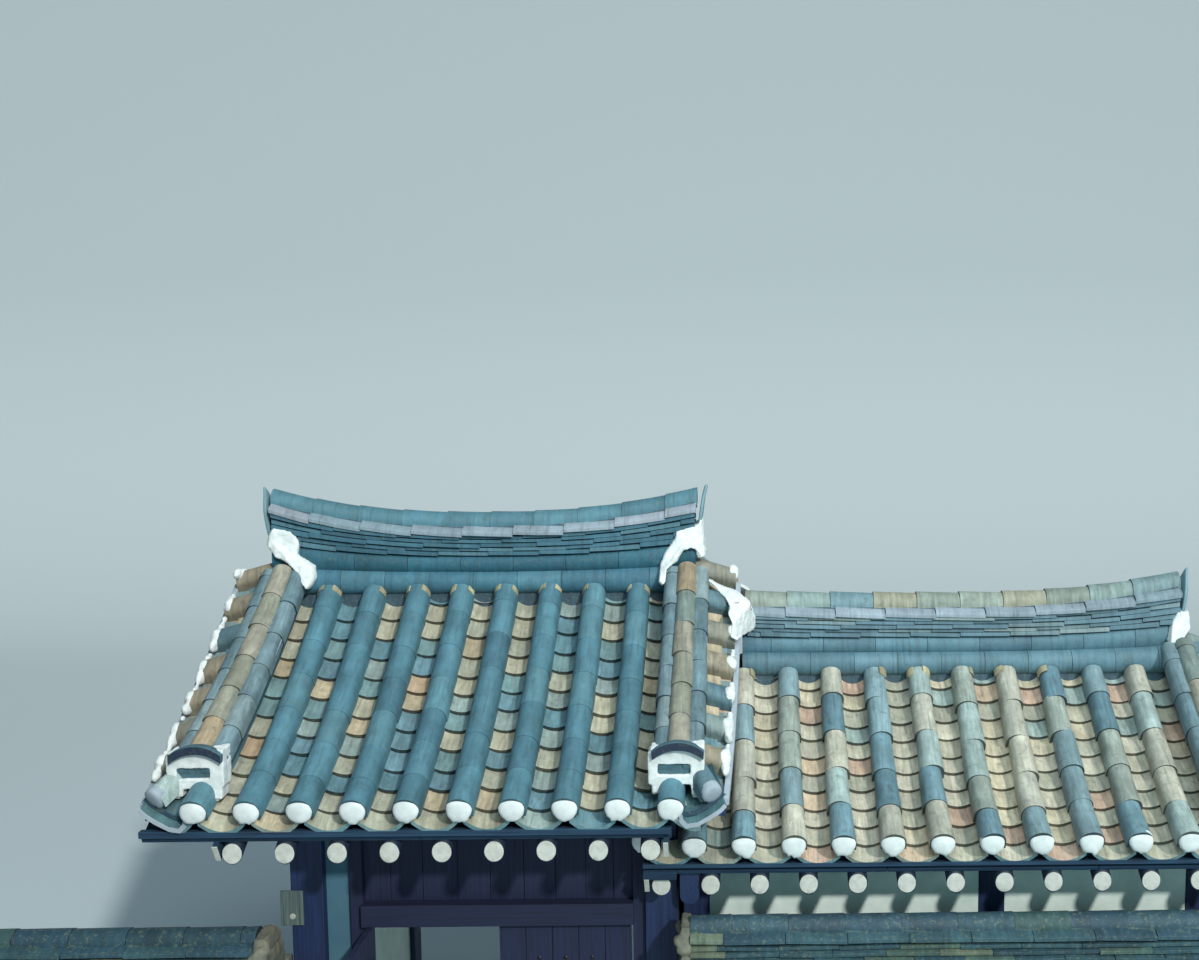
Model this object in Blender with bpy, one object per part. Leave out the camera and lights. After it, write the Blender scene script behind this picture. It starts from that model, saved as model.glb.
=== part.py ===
# Hanok gate house: a gabled gate bay, a lower wing beside it and two tiled front walls.
# Metres. X runs along the street front, Y away from it, Z up. The ground is Z = 0,
# and X = 0, Y = 0 is the middle of the whole, with the left door leaf standing open.
import math

import bmesh
import bpy

# Clearances
SEAT = 0.0003            # between pieces that touch
SWING = 0.006            # round the door leaves
PIN_PLAY = 0.0015        # round the door pivots
LET_IN = 0.006           # how deep joined timbers are let into each other
CUT_PAST = 0.05          # how far a cut runs past the face it opens

# Roof tiles, shared by both roofs
ROW_PITCH = 0.30         # from one convex row to the next
SHOULDER_SHARE = 0.17    # of the pitch, from the middle of a row
FLANK_SHARE = 0.27
SHOULDER_UP_SHARE = 0.70 # of the convex tiles' height
FLANK_DOWN_SHARE = 0.45  # of the valley's depth
COVER_RADIUS = 0.0775    # outside of the convex tiles
VALLEY_DEPTH = 0.085     # concave tiles under the centre line of the convex rows
TILE_THICK = 0.03
EAVE_OVERHANG = 0.03     # tiles in front of the eave board
VERGE_RISE = 0.07        # inner edge of the side tiles over the row line
VERGE_FALL = 0.01        # outer edge of the side tiles under the row line
VERGE_EDGE = 0.085       # thickness at the outer edge
SLOPE_STEPS = 3          # straight lengths from the eave to the ridge

# Roof timber, shared by both roofs
RAFTER_RADIUS = 0.0625
RAFTER_DROP = 0.261      # rafter axis under the row line, at the rafter's end
RAFTER_OUT = 0.04        # from the eave line in to the rafter's end
BOARD_THICK = 0.03       # boards on the rafters
BOARD_HOLD = 0.01        # how deep rafters are let into the boards
EAVE_BOARD = 0.05        # thickness of the board under the tile ends
EAVE_BOARD_HOLD = 0.004  # how deep it is let into the boards
SIDE_BOARD = 0.04        # thin board beside the last rafter
SIDE_BOARD_DEPTH = 0.11
SIDE_BOARD_LENGTH = 0.60
SIDE_BOARD_GAP = 0.012
BARGE_THICK = 0.04
BARGE_DEPTH = 0.25
BARGE_OVERLAP = 0.024    # side tiles past the bargeboard

# Gate roof. X is counted from its first row and Y from the ridges, then shifted once
GATE_ROWS = 10
GATE_HALF = 1.80         # eave to ridge
GATE_EAVE = 2.90         # centre of the tile caps over the ground
GATE_RUN = 1.68          # from the caps to the top of the rows
GATE_RISE = 0.965
GATE_SAG = 0.05
GATE_VERGE = 0.25        # width of the side tiles
GATE_RAFTERS = 9
GATE_RAFTER_START = 0.178  # first rafter from the first row

# Wing roof
WING_ROWS = 12
WING_ROW_START = 0.216   # first row from the gate's right post
WING_HALF = 1.374
WING_DROP = 0.416        # wing's eave under the gate's
WING_RUN = 1.25
WING_RISE = 0.833
WING_SAG = 0.03
WING_VERGE = 0.234
WING_RAFTERS = 12
WING_RAFTER_START = 0.31 # first long rafter from the gate's right post
WING_TILE_GAP = 0.005    # from the gate's right post

# Ridges: half widths and heights of the courses, from the bottom up
RIDGE_FOOT_HALF = 0.150
RIDGE_FOOT_HEIGHT = 0.100
RIDGE_ARCH_HALF = 0.120
RIDGE_ARCH_HEIGHT = 0.090
RIDGE_LAYER_HALF = 0.112
RIDGE_LAYER_HEIGHT = 0.100
RIDGE_LEDGE_HALF = 0.140
RIDGE_LEDGE_HEIGHT = 0.035
RIDGE_TOP_RADIUS = 0.085
RIDGE_TOP_HEIGHT = 0.120
RIDGE_CROWN = ((1.0, 0.0), (0.92, 0.5), (0.55, 0.88))  # shares of the top's radius and height
RIDGE_STEPS = 10         # straight lengths along a ridge
RIDGE_SWEEP_POWER = 2.4  # of the sweep up toward its ends
GATE_RIDGE_LIFT = 0.20
GATE_RIDGE_PAST = 0.01   # past the tile field at both ends
WING_RIDGE_LIFT = 0.14
WING_RIDGE_START = 0.03  # past the gate's side tiles
WING_RIDGE_SHORT = 0.33  # in from the side tiles' edge
SIDE_RIDGE_HALF = 0.12
SIDE_RIDGE_HEIGHT = 0.16 # over the tops of the rows
SIDE_RIDGE_EAVE = 0.14   # from the eave line to its lower end
SIDE_RIDGE_OUT = 0.025   # its middle past the last row
SIDE_RIDGE_SHAPE = ((1.0, 0.4), (0.6, 0.6), (0.35, 0.95))  # shares of its half and height

# Gate frame
POST = 0.20
LEFT_POST = 0.41         # post centre from the first row
GATE_BAY = 2.19          # between the two posts' centres
GATE_POST_Y = 1.10       # post centres before and behind the ridge
GATE_PURLIN_RADIUS = 0.09
GATE_PLATE_DEPTH = 0.12
GATE_PLATE_WIDTH = 0.09
GATE_BEAM_DROP = 0.038   # tie beams under the wall plates
GATE_BEAM_DEPTH = 0.20
GATE_BEAM_WIDTH = 0.16
KING_POST = 0.11
KING_INSET = 0.01        # in from the tie beam's face
FOOTING_HEIGHT = 0.18
FOOTING_MARGIN = 0.02
SIDE_WALL = 0.12
GABLE_THICK = 0.045
GABLE_INSET = 0.01       # gable panel in from the post's outer face
GABLE_NOTCH = 0.006      # round the ridge purlin

# Gateway
THRESHOLD_TOP = 0.19
THRESHOLD_DEPTH = 0.18
PANEL_WIDTH = 0.15       # plaster strip beside the left post
PANEL_THICK = 0.06
JAMB_WIDTH = 0.08
JAMB_DEPTH = 0.12
LINTEL_BOTTOM = 1.94
LINTEL_HEIGHT = 0.14
LINTEL_DEPTH = 0.16
TRANSOM_THICK = 0.04
LEAF_THICK = 0.04
LEAF_HEEL = 0.025        # pivot axis in from the leaf's edge
LEAF_MEETING = 0.006     # gap between the two leaves
LEAF_INSET = 0.04        # closed leaves in from the posts' faces
PIVOT_RADIUS = 0.018
PIVOT_LENGTH = 0.04
LEDGES = 4
LEDGE_HEIGHT = 0.07
LEDGE_THICK = 0.03
LEDGE_INSET = 0.08

# Bell plate
BELL_WIDTH = 0.14
BELL_HEIGHT = 0.22
BELL_THICK = 0.02
BELL_BOTTOM = 1.97
BELL_OUT = 0.06          # past the post's outer side

# Wing frame
WING_POST = 0.17
WING_BAY_LEFT = 1.915    # between post centres
WING_BAY_RIGHT = 1.35
WING_POST_Y = 0.765
WING_PURLIN_RADIUS = 0.08
WING_PLATE_DEPTH = 0.236
WING_PLATE_WIDTH = 0.12
WING_BEAM_DEPTH = 0.206
WING_BEAM_WIDTH = 0.13
WING_GABLE_FOOT = 0.03   # gable's foot in from the wall plate
WING_WALL = 0.10
PLINTH_TOP = 0.25
BEAM_HEAD_WIDTH = 0.12
BEAM_HEAD_GAP = 0.02     # from the gate's post
BEAM_HEAD_HEIGHT = 0.20
BEAM_HEAD_DROP = 0.03    # its bottom under the wall plate
BEAM_HEAD_FRONT = 1.30   # how far before the ridge it reaches
DOOR_START = 0.355       # from the first post's centre
DOOR_WIDTH = 1.20
DOOR_HEAD = 0.17         # wall over the back door
DOOR_FRAME = 0.06
DOOR_THICK = 0.05
DOOR_RECESS = 0.018      # panels of the back door behind its frame
DOOR_RAIL = 0.45         # height of its lower panels

# Front walls
WALL_THICK = 0.35
WALL_Y = 1.45            # wall centre before the ridge
WALL_UNDER_BEAM = 0.0355 # right wall's end under the beam head
LEFT_WALL_TOP = 1.704
LEFT_WALL_END = -1.50
PIER_WIDTH = 0.24
PIER_BACK = 1.12         # back of the wall ends, before the ridge
PIER_RISE = 0.25         # wall ends over the wall's top
COPING_HALF = 0.28
COPING_EDGE = 0.05
COPING_SHOULDER = 0.10
COPING_SLOPE = 0.14
COPING_BAND = 0.06
COPING_CAP = 0.07
COPING_TOP_SHARE = 0.6   # of the shoulder's width, at the cap's top

UNDERSIDE = -9.0         # marks the outline points that lie on the roof boards

DARK_WOOD = ("dark_wood", (0.035, 0.045, 0.075), 0.75)
DOOR_WOOD = ("door_wood", (0.060, 0.040, 0.060), 0.70)
PLASTER = ("plaster", (0.62, 0.66, 0.62), 0.90)
TILE = ("roof_tile", (0.17, 0.22, 0.25), 0.70)
STONE = ("stone", (0.34, 0.33, 0.29), 0.90)
LIGHT_WOOD = ("light_wood", (0.30, 0.28, 0.20), 0.70)


class Roof:
    # One pair of slopes: heights by run, the level distance in from the eave line

    def __init__(self, half, eave, run, rise, sag):
        self.half = half
        self.eave = eave
        self.slope = rise / run
        self.tilt = math.atan(self.slope)
        self.bend = 4 * sag / run ** 2
        self.start = self.slope - self.bend * run
        first = EAVE_BOARD + 4 * SEAT
        last = half - RIDGE_FOOT_HALF
        self.stations = [-EAVE_OVERHANG, EAVE_BOARD + 2 * SEAT]
        self.stations += [first + (last - first) * k / SLOPE_STEPS for k in range(SLOPE_STEPS + 1)]
        self.stations.append(half)

    def curve(self, run):
        return self.eave + self.start * run + self.bend * run ** 2

    def row_line(self, run):
        # Centre line of the convex rows, straight from each station to the next
        after = next((k for k, s in enumerate(self.stations) if run <= s and k), -1)
        low, high = self.stations[after - 1], self.stations[after]
        share = (run - low) / (high - low)
        return self.curve(low) + share * (self.curve(high) - self.curve(low))

    def rafter_axis(self, run):
        return self.eave - RAFTER_DROP + self.slope * (run - RAFTER_OUT)

    def board_bottom(self, run):
        return self.rafter_axis(run) + (RAFTER_RADIUS - BOARD_HOLD) / math.cos(self.tilt)

    def board_top(self, run):
        return self.board_bottom(run) + BOARD_THICK / math.cos(self.tilt)

    def underside(self, run):
        if run < EAVE_BOARD + 3 * SEAT:
            return self.row_line(run) - VALLEY_DEPTH - TILE_THICK
        return self.board_top(run) + SEAT

    def purlin_axis(self, run, radius):
        return self.rafter_axis(run) - (RAFTER_RADIUS + radius + SEAT) / math.cos(self.tilt)

    def stations_between(self, start, end):
        return [start] + [s for s in self.stations if start < s < end] + [end]


GATE = Roof(GATE_HALF, GATE_EAVE, GATE_RUN, GATE_RISE, GATE_SAG)
WING = Roof(WING_HALF, GATE_EAVE - WING_DROP, WING_RUN, WING_RISE, WING_SAG)

GATE_FIELD_LEFT = -ROW_PITCH / 2
GATE_FIELD_RIGHT = (GATE_ROWS - 0.5) * ROW_PITCH
GATE_LAST_ROW = (GATE_ROWS - 1) * ROW_PITCH
GATE_RIGHT_EDGE = GATE_FIELD_RIGHT + SEAT + GATE_VERGE
GATE_LEFT_EDGE = GATE_FIELD_LEFT - SEAT - GATE_VERGE
GATE_MIDDLE = (GATE_FIELD_LEFT + GATE_FIELD_RIGHT) / 2
GATE_INNER_LEFT = GATE_LEFT_EDGE + BARGE_OVERLAP + BARGE_THICK + SEAT
GATE_INNER_RIGHT = GATE_RIGHT_EDGE - BARGE_OVERLAP - BARGE_THICK - SEAT
RIGHT_POST = LEFT_POST + GATE_BAY
WING_FIRST_ROW = RIGHT_POST + WING_ROW_START
WING_FIRST_RAFTER = RIGHT_POST + WING_RAFTER_START
WING_STUB_LEFT = RIGHT_POST - POST / 2
WING_FIELD_LEFT = RIGHT_POST + POST / 2 + WING_TILE_GAP
WING_LAST_ROW = WING_FIRST_ROW + (WING_ROWS - 1) * ROW_PITCH
WING_FIELD_RIGHT = WING_LAST_ROW + ROW_PITCH / 2
WING_RIGHT_EDGE = WING_FIELD_RIGHT + SEAT + WING_VERGE
WING_INNER_RIGHT = WING_RIGHT_EDGE - BARGE_OVERLAP - BARGE_THICK - SEAT
WING_FIRST_POST = RIGHT_POST + POST / 2 + FOOTING_MARGIN + SEAT + WING_POST / 2
WING_MIDDLE_POST = WING_FIRST_POST + WING_BAY_LEFT
WING_POSTS = (WING_FIRST_POST, WING_MIDDLE_POST, WING_MIDDLE_POST + WING_BAY_RIGHT)
WHOLE_MIDDLE = (LEFT_WALL_END + WING_RIGHT_EDGE) / 2
EAVE_EDGE = GATE_HALF + EAVE_OVERHANG

GATE_PURLIN_Z = GATE.purlin_axis(GATE_HALF - GATE_POST_Y, GATE_PURLIN_RADIUS)
GATE_PLATE_TOP = GATE_PURLIN_Z - GATE_PURLIN_RADIUS + LET_IN
GATE_PLATE_BOTTOM = GATE_PLATE_TOP - GATE_PLATE_DEPTH
GATE_BEAM_TOP = GATE_PLATE_BOTTOM - GATE_BEAM_DROP
WING_PURLIN_Z = WING.purlin_axis(WING_HALF - WING_POST_Y, WING_PURLIN_RADIUS)
WING_PLATE_TOP = WING_PURLIN_Z - WING_PURLIN_RADIUS + LET_IN
WING_PLATE_BOTTOM = WING_PLATE_TOP - WING_PLATE_DEPTH
WING_BEAM_TOP = WING_PLATE_TOP - SEAT
WING_BEAM_BOTTOM = WING_BEAM_TOP - WING_BEAM_DEPTH
BEAM_HEAD_BOTTOM = WING_PLATE_BOTTOM - BEAM_HEAD_DROP
RIGHT_WALL_TOP = BEAM_HEAD_BOTTOM - WALL_UNDER_BEAM - PIER_RISE

parts = bpy.data.collections.new("hanok_gate_house")
cutters = bpy.data.collections.new("cutters")
materials = {}


def clear_scene():
    for item in list(bpy.data.objects):
        bpy.data.objects.remove(item)
    bpy.context.scene.collection.children.link(parts)
    bpy.context.scene.collection.children.link(cutters)


def material(kind):
    name, colour, roughness = kind
    if name not in materials:
        made = bpy.data.materials.new(name)
        made.use_nodes = True
        shader = made.node_tree.nodes["Principled BSDF"]
        shader.inputs["Base Color"].default_value = (*colour, 1.0)
        shader.inputs["Roughness"].default_value = roughness
        shader.inputs["Metallic"].default_value = 0.0
        materials[name] = made
    return materials[name]


def finish_mesh(name, bm):
    bmesh.ops.recalc_face_normals(bm, faces=bm.faces)
    if bm.calc_volume(signed=True) < 0:
        bmesh.ops.reverse_faces(bm, faces=bm.faces)
    mesh = bpy.data.meshes.new(name)
    bm.to_mesh(mesh)
    bm.free()
    return mesh


def add_part(name, bm, kind):
    # Parts hang on the root empty, which shifts the gate's own X and Y to the middle
    mesh = finish_mesh(name, bm)
    mesh.materials.append(material(kind))
    part = bpy.data.objects.new(name, mesh)
    parts.objects.link(part)
    part.parent = root
    return part


def combine(part, bm, operation, carrier=None):
    # Joins or cuts a part with the solids in bm, which don't touch each other. They are
    # placed in the part's own frame, or in the carrier's
    tool = bpy.data.objects.new(part.name + "_tool", finish_mesh(part.name + "_tool", bm))
    cutters.objects.link(tool)
    tool.parent = carrier or part
    tool.hide_render = True
    tool.display_type = "WIRE"
    step = part.modifiers.new(operation.lower(), "BOOLEAN")
    step.operation = operation
    step.solver = "EXACT"
    step.object = tool


def add_box(bm, x0, x1, y0, y1, z0, z1):
    made = bmesh.ops.create_cube(bm, size=1.0)
    for vert in made["verts"]:
        vert.co.x = x0 + (vert.co.x + 0.5) * (x1 - x0)
        vert.co.y = y0 + (vert.co.y + 0.5) * (y1 - y0)
        vert.co.z = z0 + (vert.co.z + 0.5) * (z1 - z0)


def box(name, kind, x0, x1, y0, y1, z0, z1):
    bm = bmesh.new()
    add_box(bm, x0, x1, y0, y1, z0, z1)
    return add_part(name, bm, kind)


def add_rod(bm, axis, centre, radius, start, end, sides):
    # A cylinder along X, Y or Z, with a corner straight above its axis on X and Y
    made = bmesh.ops.create_cone(
        bm, cap_ends=True, segments=sides, radius1=radius, radius2=radius, depth=end - start)
    middle = (start + end) / 2
    for vert in made["verts"]:
        x, y, z = vert.co
        if axis == "X":
            vert.co = (z + middle, x + centre[0], y + centre[1])
        elif axis == "Y":
            vert.co = (x + centre[0], z + middle, y + centre[1])
        else:
            vert.co = (x + centre[0], y + centre[1], z + middle)


def loft(outline, stations, place):
    # An outline pushed straight through the stations, then bent by place(across, up, station)
    bm = bmesh.new()
    first = cap = bm.faces.new([bm.verts.new((a, stations[0], u)) for a, u in outline])
    for before, after in zip(stations, stations[1:]):
        grown = bmesh.ops.extrude_face_region(bm, geom=[cap])["geom"]
        moved = [item for item in grown if isinstance(item, bmesh.types.BMVert)]
        bmesh.ops.translate(bm, verts=moved, vec=(0, after - before, 0))
        if cap is not first:
            bmesh.ops.delete(bm, geom=[cap], context="FACES_ONLY")
        cap = next(item for item in grown if isinstance(item, bmesh.types.BMFace))
    for vert in bm.verts:
        a, s, u = vert.co
        vert.co = place(a, u, s)
    return bm


def slope_place(roof, side):
    # Side -1 is the front slope and 1 the back one
    def place(across, up, run):
        height = roof.underside(run) if up == UNDERSIDE else roof.row_line(run) + up
        return across, side * (roof.half - run), height
    return place


def gable_place(roof):
    def place(across, up, y):
        run = roof.half - abs(y)
        height = roof.underside(run) if up == UNDERSIDE else roof.row_line(run) + up
        return across, y, height
    return place


def row_outline(left, right, first_row, rows):
    # Top of the tile field over one row after another, closed along its underside
    flank, shoulder = -VALLEY_DEPTH * FLANK_DOWN_SHARE, COVER_RADIUS * SHOULDER_UP_SHARE
    ribs = ((-0.5, -VALLEY_DEPTH), (-FLANK_SHARE, flank), (-SHOULDER_SHARE, shoulder),
            (0.0, COVER_RADIUS), (SHOULDER_SHARE, shoulder), (FLANK_SHARE, flank))
    top = [(first_row + (k + share) * ROW_PITCH, up) for k in range(rows) for share, up in ribs]
    top.append((first_row + (rows - 0.5) * ROW_PITCH, -VALLEY_DEPTH))
    inside = [point for point in top if left < point[0] < right]
    edge = [(left, -VALLEY_DEPTH)] + inside + [(right, -VALLEY_DEPTH)]
    return edge + [(right, UNDERSIDE), (left, UNDERSIDE)]


def tile_field(name, roof, side, left, right, first_row, rows, end=None):
    outline = row_outline(left, right, first_row, rows)
    stations = roof.stations_between(-EAVE_OVERHANG, end or roof.half - SEAT)
    add_part(name, loft(outline, stations, slope_place(roof, side)), TILE)


def verge(name, roof, inner, outer):
    # Side tiles over the bargeboard, in one run from eave to eave
    toward = 1 if outer > inner else -1
    inner += toward * SEAT
    board = outer - toward * (BARGE_OVERLAP + BARGE_THICK + SEAT)
    stations = gable_stations(roof, -EAVE_OVERHANG)
    outline = [(inner, VERGE_RISE), (outer, -VERGE_FALL), (outer, -VERGE_FALL - VERGE_EDGE),
               (board, -VERGE_FALL - VERGE_EDGE), (board, UNDERSIDE), (inner, UNDERSIDE)]
    add_part(name, loft(outline, stations, gable_place(roof)), TILE)


def gable_stations(roof, start):
    # From eave to eave, starting at that run on both slopes
    front = [run - roof.half for run in roof.stations_between(start, roof.half)]
    return front + [-y for y in reversed(front[:-1])]


def bargeboard(name, roof, outer):
    # One bent board under the side tiles, closing the gable from eave to eave
    toward = 1 if outer > GATE_MIDDLE else -1
    face = outer - toward * BARGE_OVERLAP
    back = face - toward * BARGE_THICK
    top = -VERGE_FALL - VERGE_EDGE - SEAT
    outline = [(face, top), (back, top), (back, top - BARGE_DEPTH), (face, top - BARGE_DEPTH)]
    add_part(name, loft(outline, gable_stations(roof, 0.0), gable_place(roof)), DARK_WOOD)


def rafters(name, roof, side, places, left, right, stub=None):
    # Boards, rafters and the two thin side boards, in the slope's own frame, and the eave board
    turn = -side
    length = (roof.half - 2 * SEAT - RAFTER_RADIUS * math.sin(roof.tilt)) / math.cos(roof.tilt)
    reach = (roof.half - 2 * SEAT + (RAFTER_RADIUS - BOARD_HOLD) * math.sin(roof.tilt))
    reach /= math.cos(roof.tilt)
    low = RAFTER_RADIUS - BOARD_HOLD
    start = RAFTER_OUT / math.cos(roof.tilt)

    def across(x0, x1):
        return sorted((turn * x0, turn * x1))

    bm = bmesh.new()
    add_box(bm, *across(left, right), start, reach, low, low + BOARD_THICK)
    part = add_part(name, bm, DARK_WOOD)
    bars = bmesh.new()
    for x in places:
        add_rod(bars, "Y", (turn * x, 0.0), RAFTER_RADIUS, start, length, 12)
    first, last = min(places), max(places)
    reach_out = RAFTER_RADIUS + SIDE_BOARD_GAP
    sides = [(last + reach_out, last + reach_out + SIDE_BOARD)]
    if stub is not None:
        first -= ROW_PITCH
    sides.append((first - reach_out - SIDE_BOARD, first - reach_out))
    for x0, x1 in sides:
        if x1 < right:
            add_box(bars, *across(x0, x1), start, stub if x0 < first and stub else SIDE_BOARD_LENGTH,
                    low - SIDE_BOARD_DEPTH, low + BOARD_HOLD)
    if stub is not None:
        add_rod(bars, "Y", (turn * first, 0.0), RAFTER_RADIUS, start, stub, 12)
    combine(part, bars, "UNION")
    if stub is not None:
        corner = bmesh.new()
        add_box(corner, *across(WING_STUB_LEFT, left + BOARD_HOLD), start, stub, low, low + BOARD_THICK)
        combine(part, corner, "UNION")
    eave = bmesh.new()
    y0, y1 = sorted((side * roof.half, side * (roof.half - EAVE_BOARD)))
    add_box(eave, left if stub is None else WING_STUB_LEFT, right, y0, y1,
            roof.board_top(0.0) - EAVE_BOARD_HOLD, roof.underside(0.0) - SEAT)
    combine(part, eave, "UNION", root)
    part.location = (0.0, side * roof.half, roof.rafter_axis(0.0))
    part.rotation_euler = (roof.tilt, 0.0, 0.0 if side < 0 else math.pi)


def ridge_courses():
    return ((RIDGE_FOOT_HALF, RIDGE_FOOT_HEIGHT), (RIDGE_ARCH_HALF, RIDGE_ARCH_HEIGHT),
            (RIDGE_LAYER_HALF, RIDGE_LAYER_HEIGHT), (RIDGE_LEDGE_HALF, RIDGE_LEDGE_HEIGHT))


def ridge_outline(roof):
    # Half width and height pairs on one side, the other side mirrored, over the inverted V
    right = []
    up = 0.0
    for half, height in ridge_courses():
        right += [(half, up), (half, up + height)]
        up += height
    right += [(RIDGE_TOP_RADIUS * a, up + RIDGE_TOP_HEIGHT * u) for a, u in RIDGE_CROWN]
    left = [(-a, u) for a, u in reversed(right)]
    peak = roof.row_line(roof.half) - roof.row_line(roof.half - RIDGE_FOOT_HALF)
    return [(0.0, peak)] + right + [(0.0, up + RIDGE_TOP_HEIGHT)] + left


def ridge(name, roof, left, right, lift_left, lift_right):
    # Stacked courses on a straight bed, thickened toward the ends so that the top sweeps up
    bed = roof.row_line(roof.half - RIDGE_FOOT_HALF) + COVER_RADIUS + SEAT
    height = sum(course[1] for course in ridge_courses()) + RIDGE_TOP_HEIGHT
    middle = (left + right) / 2

    def place(across, up, x):
        share = (x - middle) / (right - middle)
        lift = (lift_right if share > 0 else lift_left) * abs(share) ** RIDGE_SWEEP_POWER
        return x, across, bed + up * (1 + lift / height)

    stations = [left + (right - left) * k / RIDGE_STEPS for k in range(RIDGE_STEPS + 1)]
    add_part(name, loft(ridge_outline(roof), stations, place), TILE)


def side_ridge(name, roof, side, centre):
    # A low ridge down the slope, seated on the tops of the rows
    base = COVER_RADIUS + SEAT
    right = [(SIDE_RIDGE_HALF, base)]
    right += [(SIDE_RIDGE_HALF * a, base + SIDE_RIDGE_HEIGHT * u) for a, u in SIDE_RIDGE_SHAPE]
    outline = [(centre + a, u) for a, u in right] + [(centre - a, u) for a, u in reversed(right)]
    end = roof.half - RIDGE_FOOT_HALF - SEAT
    stations = roof.stations_between(SIDE_RIDGE_EAVE, end)
    add_part(name, loft(outline, stations, slope_place(roof, side)), TILE)


def gate_roof():
    left, right = GATE_FIELD_LEFT, GATE_FIELD_RIGHT
    places = [GATE_RAFTER_START + k * ROW_PITCH for k in range(GATE_RAFTERS)]
    for side, word in ((-1, "front"), (1, "back")):
        tile_field("gate_tiles_" + word, GATE, side, left, right, 0.0, GATE_ROWS)
        rafters("gate_rafters_" + word, GATE, side, places, GATE_INNER_LEFT, GATE_INNER_RIGHT)
        side_ridge("gate_side_ridge_left_" + word, GATE, side, -SIDE_RIDGE_OUT)
        side_ridge("gate_side_ridge_right_" + word, GATE, side, GATE_LAST_ROW + SIDE_RIDGE_OUT)
    verge("gate_side_tiles_left", GATE, left, GATE_LEFT_EDGE)
    verge("gate_side_tiles_right", GATE, right, GATE_RIGHT_EDGE)
    bargeboard("gate_bargeboard_left", GATE, GATE_LEFT_EDGE)
    bargeboard("gate_bargeboard_right", GATE, GATE_RIGHT_EDGE)
    ridge("gate_ridge", GATE, left - GATE_RIDGE_PAST, right + GATE_RIDGE_PAST,
          GATE_RIDGE_LIFT, GATE_RIDGE_LIFT)


def gate_frame():
    half = POST / 2
    for side, word in ((-1, "front"), (1, "back")):
        y = side * GATE_POST_Y
        bm = bmesh.new()
        add_box(bm, LEFT_POST - half, RIGHT_POST + half, y - GATE_PLATE_WIDTH / 2,
                y + GATE_PLATE_WIDTH / 2, GATE_PLATE_BOTTOM, GATE_PLATE_TOP)
        part = add_part("gate_frame_" + word, bm, DARK_WOOD)
        tool = bmesh.new()
        for x in (LEFT_POST, RIGHT_POST):
            add_box(tool, x - half, x + half, y - half, y + half,
                    FOOTING_HEIGHT + SEAT, GATE_PLATE_BOTTOM + LET_IN)
        add_rod(tool, "X", (y, GATE_PURLIN_Z), GATE_PURLIN_RADIUS, GATE_INNER_LEFT,
                GATE_INNER_RIGHT, 24)
        combine(part, tool, "UNION")


def gate_beams():
    # Tie beams on the posts' inner faces, king posts and the ridge purlin, as one frame.
    # On the right the purlin stops at the gable, over the wing's roof
    purlin_z = GATE.purlin_axis(GATE_HALF, GATE_PURLIN_RADIUS)
    reach = GATE_POST_Y - POST / 2 - SEAT
    bm = bmesh.new()
    add_rod(bm, "X", (0.0, purlin_z), GATE_PURLIN_RADIUS, GATE_INNER_LEFT,
            RIGHT_POST + POST / 2, 24)
    part = add_part("gate_ridge_frame", bm, DARK_WOOD)
    kings = bmesh.new()
    beams = bmesh.new()
    for x, toward in ((LEFT_POST, 1), (RIGHT_POST, -1)):
        add_box(beams, x - GATE_BEAM_WIDTH / 2, x + GATE_BEAM_WIDTH / 2, -reach, reach,
                GATE_BEAM_TOP - GATE_BEAM_DEPTH, GATE_BEAM_TOP)
        near = x + toward * (GATE_BEAM_WIDTH / 2 - KING_INSET)
        x0, x1 = sorted((near, near - toward * KING_POST))
        add_box(kings, x0, x1, -KING_POST / 2, KING_POST / 2, GATE_BEAM_TOP - LET_IN,
                purlin_z - GATE_PURLIN_RADIUS + LET_IN)
    combine(part, kings, "UNION")
    combine(part, beams, "UNION")


def gable_outline(roof, purlin_z, radius, foot_half, foot_z):
    # Panel from the beam's top to the roof boards, notched round the ridge purlin
    notch = radius + GABLE_NOTCH
    shoulder = roof.board_bottom(roof.half - foot_half) - 4 * SEAT
    crown = roof.board_bottom(roof.half - notch) - 4 * SEAT
    return [(-foot_half, foot_z), (foot_half, foot_z), (foot_half, shoulder), (notch, crown),
            (notch, purlin_z - notch), (-notch, purlin_z - notch), (-notch, crown),
            (-foot_half, shoulder)]


def panel(name, kind, outline, x0, x1):
    # An outline in Y and Z, thick along X
    add_part(name, loft(outline, [x0, x1], lambda a, u, s: (s, a, u)), kind)


def gate_walls():
    purlin_z = GATE.purlin_axis(GATE_HALF, GATE_PURLIN_RADIUS)
    outline = gable_outline(GATE, purlin_z, GATE_PURLIN_RADIUS, GATE_POST_Y - POST / 2 - SEAT,
                            GATE_BEAM_TOP + SEAT)
    outer_left = LEFT_POST - POST / 2 + GABLE_INSET
    panel("gate_gable_left", PLASTER, outline, outer_left, outer_left + GABLE_THICK)
    outer_right = RIGHT_POST + POST / 2 - GABLE_INSET
    panel("gate_gable_right", PLASTER, outline, outer_right - GABLE_THICK, outer_right)
    reach = GATE_POST_Y - POST / 2 - SEAT
    foot = POST / 2 + FOOTING_MARGIN
    for x, word in ((LEFT_POST, "left"), (RIGHT_POST, "right")):
        box("gate_side_wall_" + word, PLASTER, x - SIDE_WALL / 2, x + SIDE_WALL / 2, -reach, reach,
            FOOTING_HEIGHT + SEAT, GATE_BEAM_TOP - GATE_BEAM_DEPTH - SEAT)
        box("gate_footing_" + word, STONE, x - foot, x + foot, -GATE_POST_Y - foot,
            GATE_POST_Y + foot, 0.0, FOOTING_HEIGHT)


def gateway_sizes():
    left = LEFT_POST + POST / 2 + SEAT
    right = RIGHT_POST - POST / 2 - SEAT
    jamb_left = left + PANEL_WIDTH + SEAT + JAMB_WIDTH
    jamb_right = right - JAMB_WIDTH
    return left, right, jamb_left, jamb_right


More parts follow.
